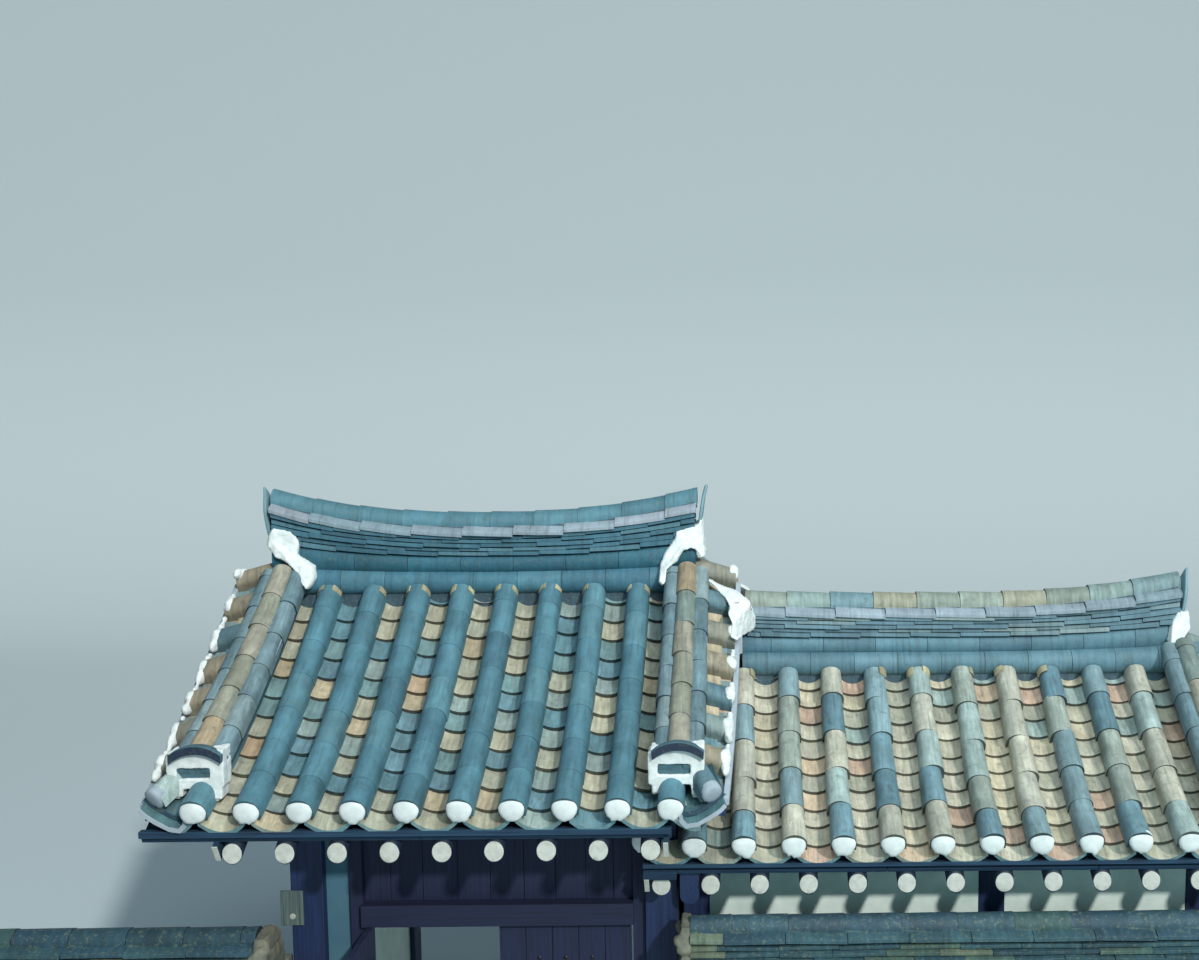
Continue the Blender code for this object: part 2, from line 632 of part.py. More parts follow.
def gateway():
    left, right, jamb_left, jamb_right = gateway_sizes()
    y = -GATE_POST_Y
    foot = POST / 2 + FOOTING_MARGIN + SEAT
    pivots = hinge_places()
    threshold = box("gate_threshold", DARK_WOOD, LEFT_POST + foot, RIGHT_POST - foot,
                    y - POST / 2, y - POST / 2 + THRESHOLD_DEPTH, 0.0, THRESHOLD_TOP)
    sockets = bmesh.new()
    for x, pivot_y in pivots:
        add_rod(sockets, "Z", (x, pivot_y), PIVOT_RADIUS + PIN_PLAY,
                THRESHOLD_TOP + SWING - PIVOT_LENGTH - SEAT, THRESHOLD_TOP + CUT_PAST, 24)
    combine(threshold, sockets, "DIFFERENCE")
    frame = box("gate_door_frame", DARK_WOOD, jamb_left - LET_IN, jamb_right + LET_IN,
                y - POST / 2, y - POST / 2 + LINTEL_DEPTH,
                LINTEL_BOTTOM, LINTEL_BOTTOM + LINTEL_HEIGHT)
    jambs = bmesh.new()
    for x0, x1 in ((jamb_left - JAMB_WIDTH, jamb_left), (jamb_right, right)):
        add_box(jambs, x0, x1, y - JAMB_DEPTH / 2, y + JAMB_DEPTH / 2, THRESHOLD_TOP + SEAT,
                GATE_PLATE_BOTTOM - SEAT)
    combine(frame, jambs, "UNION")
    sockets = bmesh.new()
    for x, pivot_y in pivots:
        add_rod(sockets, "Z", (x, pivot_y), PIVOT_RADIUS + PIN_PLAY, LINTEL_BOTTOM - CUT_PAST,
                LINTEL_BOTTOM - SWING + PIVOT_LENGTH + SWING, 24)
    combine(frame, sockets, "DIFFERENCE")
    box("gate_transom", DOOR_WOOD, jamb_left + SEAT, jamb_right - SEAT, y - TRANSOM_THICK / 2,
        y + TRANSOM_THICK / 2, LINTEL_BOTTOM + LINTEL_HEIGHT + SEAT, GATE_PLATE_BOTTOM - SEAT)
    box("gate_front_panel", PLASTER, left, left + PANEL_WIDTH, y - PANEL_THICK / 2,
        y + PANEL_THICK / 2, THRESHOLD_TOP + SEAT, GATE_PLATE_BOTTOM - SEAT)
    plate_left = LEFT_POST - POST / 2 - BELL_OUT
    box("bell_plate", LIGHT_WOOD, plate_left, plate_left + BELL_WIDTH,
        y - POST / 2 - SEAT - BELL_THICK, y - POST / 2 - SEAT, BELL_BOTTOM, BELL_BOTTOM + BELL_HEIGHT)


def hinge_places():
    # Pivot axes in the corners of the doorway, one leaf's turning circle in from the jambs
    _, _, jamb_left, jamb_right = gateway_sizes()
    heel = math.hypot(LEAF_HEEL, LEAF_THICK / 2) + SWING
    y = -GATE_POST_Y - POST / 2 + LEAF_THICK / 2 + LEAF_INSET
    return (jamb_left + heel, y), (jamb_right - heel, y)


def leaf_length():
    left_pivot, right_pivot = hinge_places()
    return (right_pivot[0] - left_pivot[0] - LEAF_MEETING) / 2


def door_leaf(name, hinge, toward, opening):
    # Planks with ledges on the inner side, turning on a pivot pin at each end of the heel
    length = leaf_length()
    bottom = THRESHOLD_TOP + SWING
    top = LINTEL_BOTTOM - SWING
    bm = bmesh.new()
    x0, x1 = sorted((-toward * LEAF_HEEL, toward * length))
    add_box(bm, x0, x1, -LEAF_THICK / 2, LEAF_THICK / 2, bottom, top)
    leaf = add_part(name, bm, DOOR_WOOD)
    extras = bmesh.new()
    add_rod(extras, "Z", (0.0, 0.0), PIVOT_RADIUS, bottom - PIVOT_LENGTH, bottom + PIVOT_LENGTH, 16)
    add_rod(extras, "Z", (0.0, 0.0), PIVOT_RADIUS, top - PIVOT_LENGTH, top + PIVOT_LENGTH, 16)
    x0, x1 = sorted((toward * LEDGE_INSET, toward * (length - LEDGE_INSET)))
    for k in range(LEDGES):
        z = bottom + (top - bottom) * (k + 0.5) / LEDGES
        add_box(extras, x0, x1, LEAF_THICK / 2 - LET_IN, LEAF_THICK / 2 + LEDGE_THICK,
                z - LEDGE_HEIGHT / 2, z + LEDGE_HEIGHT / 2)
    combine(leaf, extras, "UNION")
    leaf.location = (hinge[0], hinge[1], 0.0)
    leaf.rotation_euler = (0.0, 0.0, opening)


def wing_roof():
    left, right = WING_FIELD_LEFT, WING_FIELD_RIGHT
    places = [WING_FIRST_RAFTER + k * ROW_PITCH for k in range(WING_RAFTERS)]
    post_face = WING_HALF - GATE_POST_Y - POST / 2 - SEAT
    stub = (post_face - RAFTER_RADIUS * math.sin(WING.tilt)) / math.cos(WING.tilt)
    for side, word in ((-1, "front"), (1, "back")):
        tile_field("wing_tiles_" + word, WING, side, left, right, WING_FIRST_ROW, WING_ROWS)
        side_ridge("wing_side_ridge_" + word, WING, side, WING_LAST_ROW + SIDE_RIDGE_OUT)
    rafters("wing_rafters_front", WING, -1, places, left, WING_INNER_RIGHT, stub)
    rafters("wing_rafters_back", WING, 1, places, left, WING_INNER_RIGHT)
    tile_field("wing_corner_tiles", WING, -1, WING_STUB_LEFT, left - SEAT, WING_FIRST_ROW - ROW_PITCH,
               1, post_face)
    verge("wing_side_tiles", WING, right, WING_RIGHT_EDGE)
    bargeboard("wing_bargeboard", WING, WING_RIGHT_EDGE)
    ridge("wing_ridge", WING, GATE_RIGHT_EDGE + WING_RIDGE_START,
          WING_RIGHT_EDGE - WING_RIDGE_SHORT, 0.0, WING_RIDGE_LIFT)


def wing_frame():
    half = WING_POST / 2
    for side, word in ((-1, "front"), (1, "back")):
        y = side * WING_POST_Y
        bm = bmesh.new()
        add_box(bm, WING_POSTS[0] - half, WING_POSTS[-1] + half, y - WING_PLATE_WIDTH / 2,
                y + WING_PLATE_WIDTH / 2, WING_PLATE_BOTTOM, WING_PLATE_TOP)
        part = add_part("wing_frame_" + word, bm, DARK_WOOD)
        tool = bmesh.new()
        for x in WING_POSTS:
            add_box(tool, x - half, x + half, y - half, y + half,
                    PLINTH_TOP + SEAT, WING_PLATE_BOTTOM + LET_IN)
        add_rod(tool, "X", (y, WING_PURLIN_Z), WING_PURLIN_RADIUS, WING_FIELD_LEFT,
                WING_INNER_RIGHT, 24)
        combine(part, tool, "UNION")


def beam_head():
    # The end of a cross beam that shows under the eave, round below
    radius = BEAM_HEAD_WIDTH / 2
    centre = RIGHT_POST + POST / 2 + BEAM_HEAD_GAP + radius
    top = BEAM_HEAD_BOTTOM + BEAM_HEAD_HEIGHT
    arc = [(centre + radius * math.cos(math.pi * k / 8),
            BEAM_HEAD_BOTTOM + radius - radius * math.sin(math.pi * k / 8)) for k in range(9)]
    outline = [(centre - radius, top), (centre + radius, top)]
    stations = [-BEAM_HEAD_FRONT, -WING_POST_Y - WING_POST / 2 - SEAT]
    bm = loft(outline + arc, stations, lambda a, u, s: (a, s, u))
    add_part("wing_beam_head", bm, DARK_WOOD)


def wing_beams():
    purlin_z = WING.purlin_axis(WING_HALF, WING_PURLIN_RADIUS)
    reach = WING_POST_Y - WING_PLATE_WIDTH / 2 - SEAT
    bm = bmesh.new()
    add_rod(bm, "X", (0.0, purlin_z), WING_PURLIN_RADIUS, WING_FIELD_LEFT, WING_INNER_RIGHT, 24)
    part = add_part("wing_ridge_frame", bm, DARK_WOOD)
    kings = bmesh.new()
    beams = bmesh.new()
    gable = WING_POSTS[-1] + WING_POST / 2 - GABLE_INSET - GABLE_THICK - SEAT
    for x in WING_POSTS:
        add_box(beams, x - WING_BEAM_WIDTH / 2, x + WING_BEAM_WIDTH / 2, -reach, reach,
                WING_BEAM_BOTTOM, WING_BEAM_TOP)
        x1 = min(x + KING_POST / 2, gable)
        add_box(kings, x1 - KING_POST, x1, -KING_POST / 2, KING_POST / 2,
                WING_BEAM_TOP - LET_IN, purlin_z - WING_PURLIN_RADIUS + LET_IN)
    combine(part, kings, "UNION")
    combine(part, beams, "UNION")


def wing_walls():
    half = WING_POST / 2
    first, middle, last = WING_POSTS
    top = WING_PLATE_BOTTOM - SEAT
    bottom = PLINTH_TOP + SEAT
    y0, y1 = -WING_POST_Y - WING_WALL / 2, -WING_POST_Y + WING_WALL / 2
    box("wing_front_wall_left", PLASTER, first + half + SEAT, middle - half - SEAT, y0, y1,
        bottom, top)
    box("wing_front_wall_right", PLASTER, middle + half + SEAT, last - half - SEAT, y0, y1,
        bottom, top)
    reach = WING_POST_Y - half - SEAT
    box("wing_side_wall", PLASTER, last - WING_WALL / 2, last + WING_WALL / 2, -reach, reach,
        bottom, WING_BEAM_BOTTOM - SEAT)
    foot = WING_POST_Y + half + FOOTING_MARGIN
    box("wing_plinth", STONE, first - half, last + half + FOOTING_MARGIN, -foot, foot,
        0.0, PLINTH_TOP)
    purlin_z = WING.purlin_axis(WING_HALF, WING_PURLIN_RADIUS)
    foot_half = WING_POST_Y - WING_PLATE_WIDTH / 2 - WING_GABLE_FOOT
    outline = gable_outline(WING, purlin_z, WING_PURLIN_RADIUS, foot_half, WING_PLATE_TOP + SEAT)
    outer = last + half - GABLE_INSET
    panel("wing_gable", PLASTER, outline, outer - GABLE_THICK, outer)


def wing_back_wall():
    # The doorway is cut through the left bay; the right bay is whole
    half = WING_POST / 2
    first, middle, last = WING_POSTS
    top = WING_PLATE_BOTTOM - SEAT
    bottom = PLINTH_TOP + SEAT
    door_top = WING_PLATE_BOTTOM - DOOR_HEAD
    door_left = first + DOOR_START
    door_right = door_left + DOOR_WIDTH
    y0, y1 = WING_POST_Y - WING_WALL / 2, WING_POST_Y + WING_WALL / 2
    wall = box("wing_back_wall_left", PLASTER, first + half + SEAT, middle - half - SEAT, y0, y1,
               bottom, top)
    hole = bmesh.new()
    add_box(hole, door_left, door_right, y0 - CUT_PAST, y1 + CUT_PAST, bottom - CUT_PAST, door_top)
    combine(wall, hole, "DIFFERENCE")
    box("wing_back_wall_right", PLASTER, middle + half + SEAT, last - half - SEAT, y0, y1,
        bottom, top)
    panelled_door("wing_back_door", door_left + SEAT, door_right - SEAT, bottom, door_top - SEAT)


def panelled_door(name, x0, x1, z0, z1):
    # A pair of leaves that stay shut, as one panel with recesses on the outside
    y = WING_POST_Y
    door = box(name, LIGHT_WOOD, x0, x1, y - DOOR_THICK / 2, y + DOOR_THICK / 2, z0, z1)
    middle = (x0 + x1) / 2
    recesses = bmesh.new()
    for left, right in ((x0, middle), (middle, x1)):
        for low, high in ((z0, z0 + DOOR_RAIL), (z0 + DOOR_RAIL, z1)):
            add_box(recesses, left + DOOR_FRAME, right - DOOR_FRAME,
                    y + DOOR_THICK / 2 - DOOR_RECESS, y + DOOR_THICK,
                    low + DOOR_FRAME, high - DOOR_FRAME)
    combine(door, recesses, "DIFFERENCE")


def front_wall(word, near, far, top):
    # A straight wall under a tiled coping, its stone end standing against the gate's footing
    toward = 1 if far > near else -1
    end = near + toward * PIER_WIDTH
    y0, y1 = -WALL_Y - WALL_THICK / 2, -WALL_Y + WALL_THICK / 2
    x0, x1 = sorted((near, end))
    box(word + "_wall_end", STONE, x0, x1, y0, -PIER_BACK, 0.0, top + PIER_RISE)
    x0, x1 = sorted((end + toward * SEAT, far))
    box(word + "_wall", STONE, x0, x1, y0, y1, 0.0, top)
    right = [(COPING_HALF, 0.0), (COPING_HALF, COPING_EDGE),
             (COPING_SHOULDER, COPING_EDGE + COPING_SLOPE),
             (COPING_SHOULDER, COPING_EDGE + COPING_SLOPE + COPING_BAND),
             (COPING_SHOULDER * COPING_TOP_SHARE, COPING_EDGE + COPING_SLOPE + COPING_BAND + COPING_CAP)]
    outline = right + [(-a, u) for a, u in reversed(right)]
    bm = loft(outline, [x0, x1], lambda a, u, s: (s, a - WALL_Y, u + top + SEAT))
    add_part(word + "_wall_coping", bm, TILE)


clear_scene()
left_hinge, right_hinge = hinge_places()
open_leaf_tip = left_hinge[1] - leaf_length()
root = bpy.data.objects.new("house_frame", None)
parts.objects.link(root)
root.location = (-WHOLE_MIDDLE, -(min(open_leaf_tip, -EAVE_EDGE) + EAVE_EDGE) / 2, 0.0)

gate_roof()
gate_frame()
gate_beams()
gate_walls()
gateway()
door_leaf("left_door_leaf", left_hinge, 1, -math.pi / 2)
door_leaf("right_door_leaf", right_hinge, -1, 0.0)
wing_roof()
wing_frame()
beam_head()
wing_beams()
wing_walls()
wing_back_wall()
gate_foot = POST / 2 + FOOTING_MARGIN + SEAT
front_wall("right", RIGHT_POST + gate_foot, WING_RIGHT_EDGE, RIGHT_WALL_TOP)
front_wall("left", LEFT_POST - gate_foot, LEFT_WALL_END, LEFT_WALL_TOP)
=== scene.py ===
import math
import random

import bmesh
import bpy
from mathutils import Matrix, Vector, noise


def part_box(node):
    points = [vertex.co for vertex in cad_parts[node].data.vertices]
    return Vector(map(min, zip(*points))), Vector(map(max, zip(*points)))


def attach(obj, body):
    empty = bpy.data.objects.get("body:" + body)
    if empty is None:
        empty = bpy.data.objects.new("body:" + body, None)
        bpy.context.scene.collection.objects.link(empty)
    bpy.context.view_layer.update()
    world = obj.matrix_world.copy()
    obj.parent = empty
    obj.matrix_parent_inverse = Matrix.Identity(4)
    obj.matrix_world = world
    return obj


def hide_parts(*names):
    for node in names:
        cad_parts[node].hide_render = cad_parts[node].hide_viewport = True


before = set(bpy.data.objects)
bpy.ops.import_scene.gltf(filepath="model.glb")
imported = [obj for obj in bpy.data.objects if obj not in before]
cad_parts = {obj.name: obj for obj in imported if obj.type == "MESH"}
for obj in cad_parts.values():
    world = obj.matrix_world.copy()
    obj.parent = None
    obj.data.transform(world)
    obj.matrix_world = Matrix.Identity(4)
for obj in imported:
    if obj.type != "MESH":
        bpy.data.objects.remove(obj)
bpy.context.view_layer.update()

# Hanok gate house: tile by tile roofs over a dark timber frame, plaster and granite.
# All places are in the gate's own frame: x from its first tile row, y from the ridges, z from the ground.

rowIn = 0.15  # the first row, in from the tile field's left edge
origin = Vector((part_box("gate_tiles_front")[0].x + rowIn, sum(c.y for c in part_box("gate_ridge")) / 2, 0.0))


def linear(hexColour):  # sRGB hex to the linear colour that the shaders want
    values = [int(hexColour[i:i + 2], 16) / 255 for i in (1, 3, 5)]
    return tuple(v / 12.92 if v <= 0.04045 else ((v + 0.055) / 1.055) ** 2.4 for v in values) + (1.0,)


def shade(tone, amount):  # a tone made lighter or darker
    return tuple(channel * amount for channel in tone[:3]) + (1.0,)


def pick(draw, palette):  # one of the palette's tones by weight, a little lighter or darker
    chosen = draw.choices(list(palette), weights=list(palette.values()))[0]
    return shade(linear(chosen), draw.uniform(0.88, 1.12))


def arc(first, last, steps):  # evenly spaced angles, from degrees to radians
    return [math.radians(first + (last - first) * k / steps) for k in range(steps + 1)]


def turns(count):  # angles once around
    return [math.tau * k / count for k in range(count)]


white, rim = linear("#dde6ea"), linear("#6f8988")  # lime on tile ends, damp lime on lips
darkTone = linear("#1b2c4b")

# Meshes


class Piece:  # gathers the faces of one mesh, each with its own tone

    def __init__(self):
        self.verts, self.faces, self.tones = [], [], []

    def slab(self, top, bottom, tone=darkTone, mouth=None):  # sheet between two grids; its first edge may be darker
        start, rows, count = len(self.verts), len(top), len(top[0])
        self.verts += [point for grid in (top, bottom) for line in grid for point in line]
        under, sides = rows * count, []
        first, last = ([(a + j, a + j + 1, a + j + 1 + under, a + j + under) for j in range(count - 1)]
                       for a in (start, start + (rows - 1) * count))
        for a in range(start, start + (rows - 1) * count, count):
            for j in range(count - 1):
                quad = (a + j, a + j + 1, a + count + j + 1, a + count + j)
                sides += [quad, tuple(v + under for v in reversed(quad))]
            sides += [(a + j, a + count + j, a + count + j + under, a + j + under) for j in (0, count - 1)]
        self.faces += first + sides + last
        self.tones += [mouth or tone] * len(first) + [tone] * len(sides + last)

    def flat(self, where, line, thick, stations, tone, mouth=None, inset=0.0):
        # Flat tile: a cross line at each (along, tip) station, its lower face the thickness below
        self.slab(*([[where(a - inset * k, u + tip - thick * k, x) for a, u in line] for x, tip in stations]
                    for k in (0, 1)), tone, mouth)

    def loft(self, rings, tone=darkTone):  # closed rings of points, with a face over both ends
        start, count = len(self.verts), len(rings[0])
        self.verts += [point for ring in rings for point in ring]
        last = start + (len(rings) - 1) * count
        walls = [(a + j, a + (j + 1) % count, a + count + (j + 1) % count, a + count + j)
                 for a in range(start, last, count) for j in range(count)]
        self.faces += walls + [tuple(range(start, start + count)), tuple(range(last, last + count))]
        self.tones += [tone] * (len(walls) + 2)

    def block(self, low, high, tone=darkTone, turn=Vector):  # box between two corners
        corners = ((low[0], low[1]), (high[0], low[1]), (high[0], high[1]), (low[0], high[1]))
        self.loft([[turn((x, y, z)) for x, y in corners] for z in (low[2], high[2])], tone)

    def make(self, name, material, slot, body="house", replaces=(), bevel=0.0, sharp=40):
        mesh = bpy.data.meshes.new(name)
        mesh.from_pydata([v + origin for v in self.verts], [], self.faces)
        tones = mesh.attributes.new("tone", "FLOAT_COLOR", "FACE")
        tones.data.foreach_set("color", [c for tone in self.tones for c in tone])
        bm = bmesh.new()
        bm.from_mesh(mesh)
        bmesh.ops.recalc_face_normals(bm, faces=bm.faces)
        bm.to_mesh(mesh)
        bm.free()
        mesh.shade_smooth()
        mesh.set_sharp_from_angle(angle=math.radians(sharp))
        return place(name, mesh, material, body, replaces, bevel)


def place(name, mesh, material, body="house", replaces=(), bevel=0.0):
    piece = bpy.data.objects.new(name, mesh)
    bpy.context.scene.collection.objects.link(piece)
    mesh.materials.append(material)
    if bevel:  # rounds the edges a little
        edge = piece.modifiers.new("edges", "BEVEL")
        edge.width, edge.segments, edge.harden_normals = bevel, 2, True
        edge.limit_method, edge.angle_limit = "ANGLE", math.radians(40)
    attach(piece, body)
    if replaces:
        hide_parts(*replaces)
    return piece


def fuse(name, shape, material, slot, voxel=0.008, rough=0.004, seed=0):
    # Plaster laid on by hand: overlapping forms fused into one skin, rubbed smooth and left a little uneven
    raw = shape.make(name + "Raw", material, slot)
    remesh = raw.modifiers.new("skin", "REMESH")
    remesh.mode, remesh.voxel_size = "VOXEL", voxel
    raw.modifiers.new("relax", "SMOOTH").iterations = 3
    mesh = bpy.data.meshes.new_from_object(raw.evaluated_get(bpy.context.evaluated_depsgraph_get()))
    bpy.data.objects.remove(raw)
    for vert in mesh.vertices:
        spot = vert.co * 22 + Vector((seed * 3.7, 0, 0))
        vert.co += vert.normal * rough * (noise.noise(spot) + 0.5 * noise.noise(spot * 3.1))
    mesh.name = name
    mesh.materials.clear()
    mesh.shade_smooth()
    place(name, mesh, material)


# Materials


def node(tree, kind, settings=None, links=None):  # adds one node with its settings and links, gives its main output
    made = tree.nodes.new("ShaderNode" + kind)
    for key, value in (settings or {}).items():
        if isinstance(key, str) and hasattr(made, key):
            setattr(made, key, value)
        else:
            made.inputs[key].default_value = value
    for key, source in (links or {}).items():
        tree.links.new(source, made.inputs[key])
    return made.outputs[{"Mix": 2, "TexCoord": 3}.get(kind, 0)]


def perMetre(millimetres):  # texture scale for a pattern of that size
    return 1000.0 / millimetres


def finish(name, roughness, build, *values, metallic=0.0):  # a material from what build gives for its sockets
    made = bpy.data.materials.new(name)
    made.use_nodes = True
    tree = made.node_tree
    shader = tree.nodes["Principled BSDF"]
    for key, value in (("Roughness", roughness), ("IOR", 1.5), ("Metallic", metallic)):
        shader.inputs[key].default_value = value
    for key, source in build(tree, {"Vector": node(tree, "TexCoord")}, *values).items():
        tree.links.new(source, shader.inputs[key])
    return made


blend = {"data_type": "RGBA"}
multiply = {"data_type": "RGBA", "blend_type": "MULTIPLY", 0: 1.0}
clay = {"mossTone": "#7d7f5c", "sootTone": "#1d2f36", "streak": 0.34}


def firedClay(tree, at, moss, soot, bleach):
    # Unglazed reduction-fired clay, pressed in a mould: matt with a faint silver sheen,
    # rain streaks and bleached runs down the slope, lichen freckles and a sandy skin
    cloud = node(tree, "TexNoise", {"Scale": perMetre(160), "Detail": 4.0, "Roughness": 0.6}, at)
    clouds = node(tree, "MapRange", {"From Min": 0.32, "From Max": 0.68, "To Min": 0.78, "To Max": 1.14},
                  {"Value": cloud})
    colour = node(tree, "Mix", multiply, {6: node(tree, "Attribute", {"attribute_name": "tone"}), 7: clouds})
    long = node(tree, "Mapping", {"Scale": (perMetre(22), perMetre(260), perMetre(260))}, at)
    streaks = node(tree, "TexNoise", {"Scale": 1.0, "Detail": 3.0, "Roughness": 0.55}, {"Vector": long})
    share = node(tree, "MapRange", {"From Min": 0.5, "From Max": 0.72, "To Max": clay["streak"]}, {"Value": streaks})
    colour = node(tree, "Mix", {**blend, 7: linear(clay["sootTone"])}, {0: share, 6: colour})
    pale = node(tree, "Mapping", {"Location": (4.0, 9.0, 2.0), "Scale": (perMetre(30), perMetre(150), perMetre(150))},
                at)
    runs = node(tree, "TexNoise", {"Scale": 1.0, "Detail": 5.0, "Roughness": 0.62}, {"Vector": pale})
    share = node(tree, "MapRange", {"From Min": 0.46, "From Max": 0.68, "To Min": 1.0, "To Max": 1.0 + bleach},
                 {"Value": runs})
    colour = node(tree, "Mix", multiply, {6: colour, 7: share})
    freckle = node(tree, "TexNoise", {"Scale": perMetre(24), "Detail": 6.0, "Roughness": 0.72}, at)
    share = node(tree, "MapRange", {"From Min": 0.54, "From Max": 0.66, "To Max": moss}, {"Value": freckle})
    colour = node(tree, "Mix", {**blend, 7: linear(clay["mossTone"])}, {0: share, 6: colour})
    grime = node(tree, "TexNoise", {"Scale": perMetre(60), "Detail": 5.0, "Roughness": 0.65}, at)
    share = node(tree, "MapRange", {"From Min": 0.56, "From Max": 0.74, "To Max": soot}, {"Value": grime})
    colour = node(tree, "Mix", {**blend, 7: linear(clay["sootTone"])}, {0: share, 6: colour})
    sand = node(tree, "TexNoise", {"Scale": perMetre(7), "Detail": 4.0, "Roughness": 0.7}, at)  # grit, drawn coarser
    bump = node(tree, "Bump", {"Strength": 0.35, "Distance": 0.003}, {"Height": sand})
    return {"Base Color": colour, "Roughness": node(tree, "MapRange", {"To Min": 0.5, "To Max": 0.8}, {"Value": grime}),
            "Normal": node(tree, "Bump", {"Strength": 0.3, "Distance": 0.012}, {"Height": grime, "Normal": bump})}


def limePlaster(tree, at, colour, stain, spots, patch):
    # Lime and sand plaster, trowelled by hand: chalky, cloudy, with rain stains and fine pits
    cloud = node(tree, "TexNoise", {"Scale": perMetre(patch), "Detail": 5.0, "Roughness": 0.6}, at)
    mottle = node(tree, "MapRange", {"From Min": 0.35, "From Max": 0.7, "To Max": spots}, {"Value": cloud})
    pits = node(tree, "TexNoise", {"Scale": perMetre(9), "Detail": 5.0, "Roughness": 0.7}, at)
    trowel = node(tree, "TexNoise", {"Scale": perMetre(90), "Detail": 2.0}, at)
    fine = node(tree, "Bump", {"Strength": 0.25, "Distance": 0.003}, {"Height": pits})
    return {"Base Color": node(tree, "Mix", {**blend, 6: linear(colour), 7: linear(stain)}, {0: mottle}),
            "Normal": node(tree, "Bump", {"Strength": 0.35, "Distance": 0.01}, {"Height": trowel, "Normal": fine})}


def stainedPine(tree, at, dark, light, grain):
    # Red pine, planed and stained: straight grain along the timber, drying cracks, soft sheen on the edges
    fibres, checks = ({"Vector": node(tree, "Mapping", {"Scale": tuple(perMetre(along if axis == grain else cross)
                                                                       for axis in range(3))}, at)}
                      for cross, along in ((14, 420), (9, 650)))
    fine = node(tree, "TexNoise", {"Scale": 1.0, "Detail": 6.0, "Roughness": 0.62, "Distortion": 0.4}, fibres)
    share = node(tree, "MapRange", {"From Min": 0.35, "From Max": 0.7}, {"Value": fine})
    wood = node(tree, "Mix", {**blend, 6: linear(dark), 7: linear(light)}, {0: share})
    cracks = node(tree, "TexNoise", {"Scale": 1.0, "Detail": 2.0}, checks)
    share = node(tree, "MapRange", {"From Min": 0.62, "From Max": 0.68}, {"Value": cracks})
    return {"Base Color": node(tree, "Mix", {**multiply, 7: (0.35, 0.35, 0.4, 1.0)}, {0: share, 6: wood}),
            "Normal": node(tree, "Bump", {"Strength": 0.35, "Distance": 0.002}, {"Height": fine})}


def hewnGranite(tree, at):
    # Granite split and dressed with a point chisel: speckled grain, dull pitted faces, damp stains
    grain = node(tree, "TexVoronoi", {"Scale": perMetre(9)}, at)  # 3 mm crystals, drawn coarser
    speckle = node(tree, "MapRange", {"From Max": 0.9, "To Min": 0.72, "To Max": 1.25}, {"Value": grain})
    speckled = node(tree, "Mix", multiply, {6: node(tree, "Attribute", {"attribute_name": "tone"}), 7: speckle})
    damp = node(tree, "TexNoise", {"Scale": perMetre(190), "Detail": 5.0, "Roughness": 0.65}, at)
    share = node(tree, "MapRange", {"From Min": 0.48, "From Max": 0.72, "To Max": 0.55}, {"Value": damp})
    chisel = node(tree, "TexNoise", {"Scale": perMetre(22), "Detail": 6.0, "Roughness": 0.7}, at)
    return {"Base Color": node(tree, "Mix", {**blend, 7: linear("#3c4238")}, {0: share, 6: speckled}),
            "Normal": node(tree, "Bump", {"Strength": 0.7, "Distance": 0.008}, {"Height": chisel})}


def forgedIron(tree, at):
    # Blackened wrought iron, hammered: dark, half dull, with small flats that catch the light
    spots = node(tree, "TexNoise", {"Scale": perMetre(12), "Detail": 3.0}, at)
    return {"Base Color": node(tree, "Mix", {**blend, 6: linear("#2b2c30"), 7: linear("#4a4038")}, {0: spots}),
            "Normal": node(tree, "Bump", {"Strength": 0.5, "Distance": 0.002}, {"Height": spots})}


def mulberryPaper(tree, at):
    # Mulberry paper pasted on a lattice: warm white, fibrous and slightly slack
    fibres = node(tree, "TexNoise", {"Scale": perMetre(8), "Detail": 8.0, "Roughness": 0.8, "Distortion": 1.5}, at)
    return {"Base Color": node(tree, "Mix", {**blend, 6: linear("#d9d2bd"), 7: linear("#eee9da")}, {0: fibres}),
            "Normal": node(tree, "Bump", {"Strength": 0.2, "Distance": 0.001}, {"Height": fibres})}


gateClay = finish("reduction fired clay, gate rows", 0.62, firedClay, 0.22, 0.25, 0.12)
oldClay = finish("reduction fired clay, weathered", 0.62, firedClay, 0.45, 0.45, 0.38)
capPlaster, edgePlaster, mortarLime, endStone, wallPlaster, shadedStripPlaster, endPaint = (
    finish(name, 0.9, limePlaster, colour, stain, spots, patch) for name, colour, stain, spots, patch in (
        ("lime plaster, tile ends", "#d9dad8", "#aab2b0", 0.5, 60),
        ("lime plaster, gable edge", "#99a1aa", "#7c868c", 0.6, 90),
        ("lime mortar, joints", "#7b8077", "#5f645c", 0.6, 90),
        ("rubble and mortar, coping ends", "#726f60", "#4d5049", 0.9, 70),
        ("lime plaster, walls", "#e2ece6", "#b4c9c1", 0.6, 220),
        # the gate strip's plaster is a dark teal copy of the wall plaster: painted shade
        ("lime plaster, gate strip", "#436878", "#3a5d70", 0.6, 220),
        ("chalk paint, rafter ends", "#bfbeb6", "#979488", 0.5, 40)))
woodX, woodY, rafterPine, woodZ, eavePine, headPine, doorPine, paleWood = (
    finish(name, roughness, stainedPine, dark, light, grain) for name, roughness, dark, light, grain in (
        ("stained pine, beams", 0.62, "#0a1a3a", "#142b56", 0),
        ("stained pine, rafters", 0.62, "#0c1c3e", "#162f5a", 1),
        ("stained pine, rafters in shade", 0.62, "#091629", "#11243c", 1),
        ("stained pine, posts", 0.62, "#0b1a3c", "#152c57", 2),
        ("stained pine, eave boards", 0.8, "#0d263e", "#183e57", 0),
        ("stained pine, door head", 0.75, "#0a122c", "#151d3e", 0),
        ("stained pine, door planks", 0.75, "#0a122e", "#151e42", 2),
        ("weathered pine, pale", 0.7, "#3f4f50", "#66736f", 2)))
granite = finish("split granite", 0.85, hewnGranite)
iron = finish("wrought iron", 0.5, forgedIron, metallic=1.0)
paper = finish("mulberry paper", 0.8, mulberryPaper)
print("materials made")

# Roof sizes

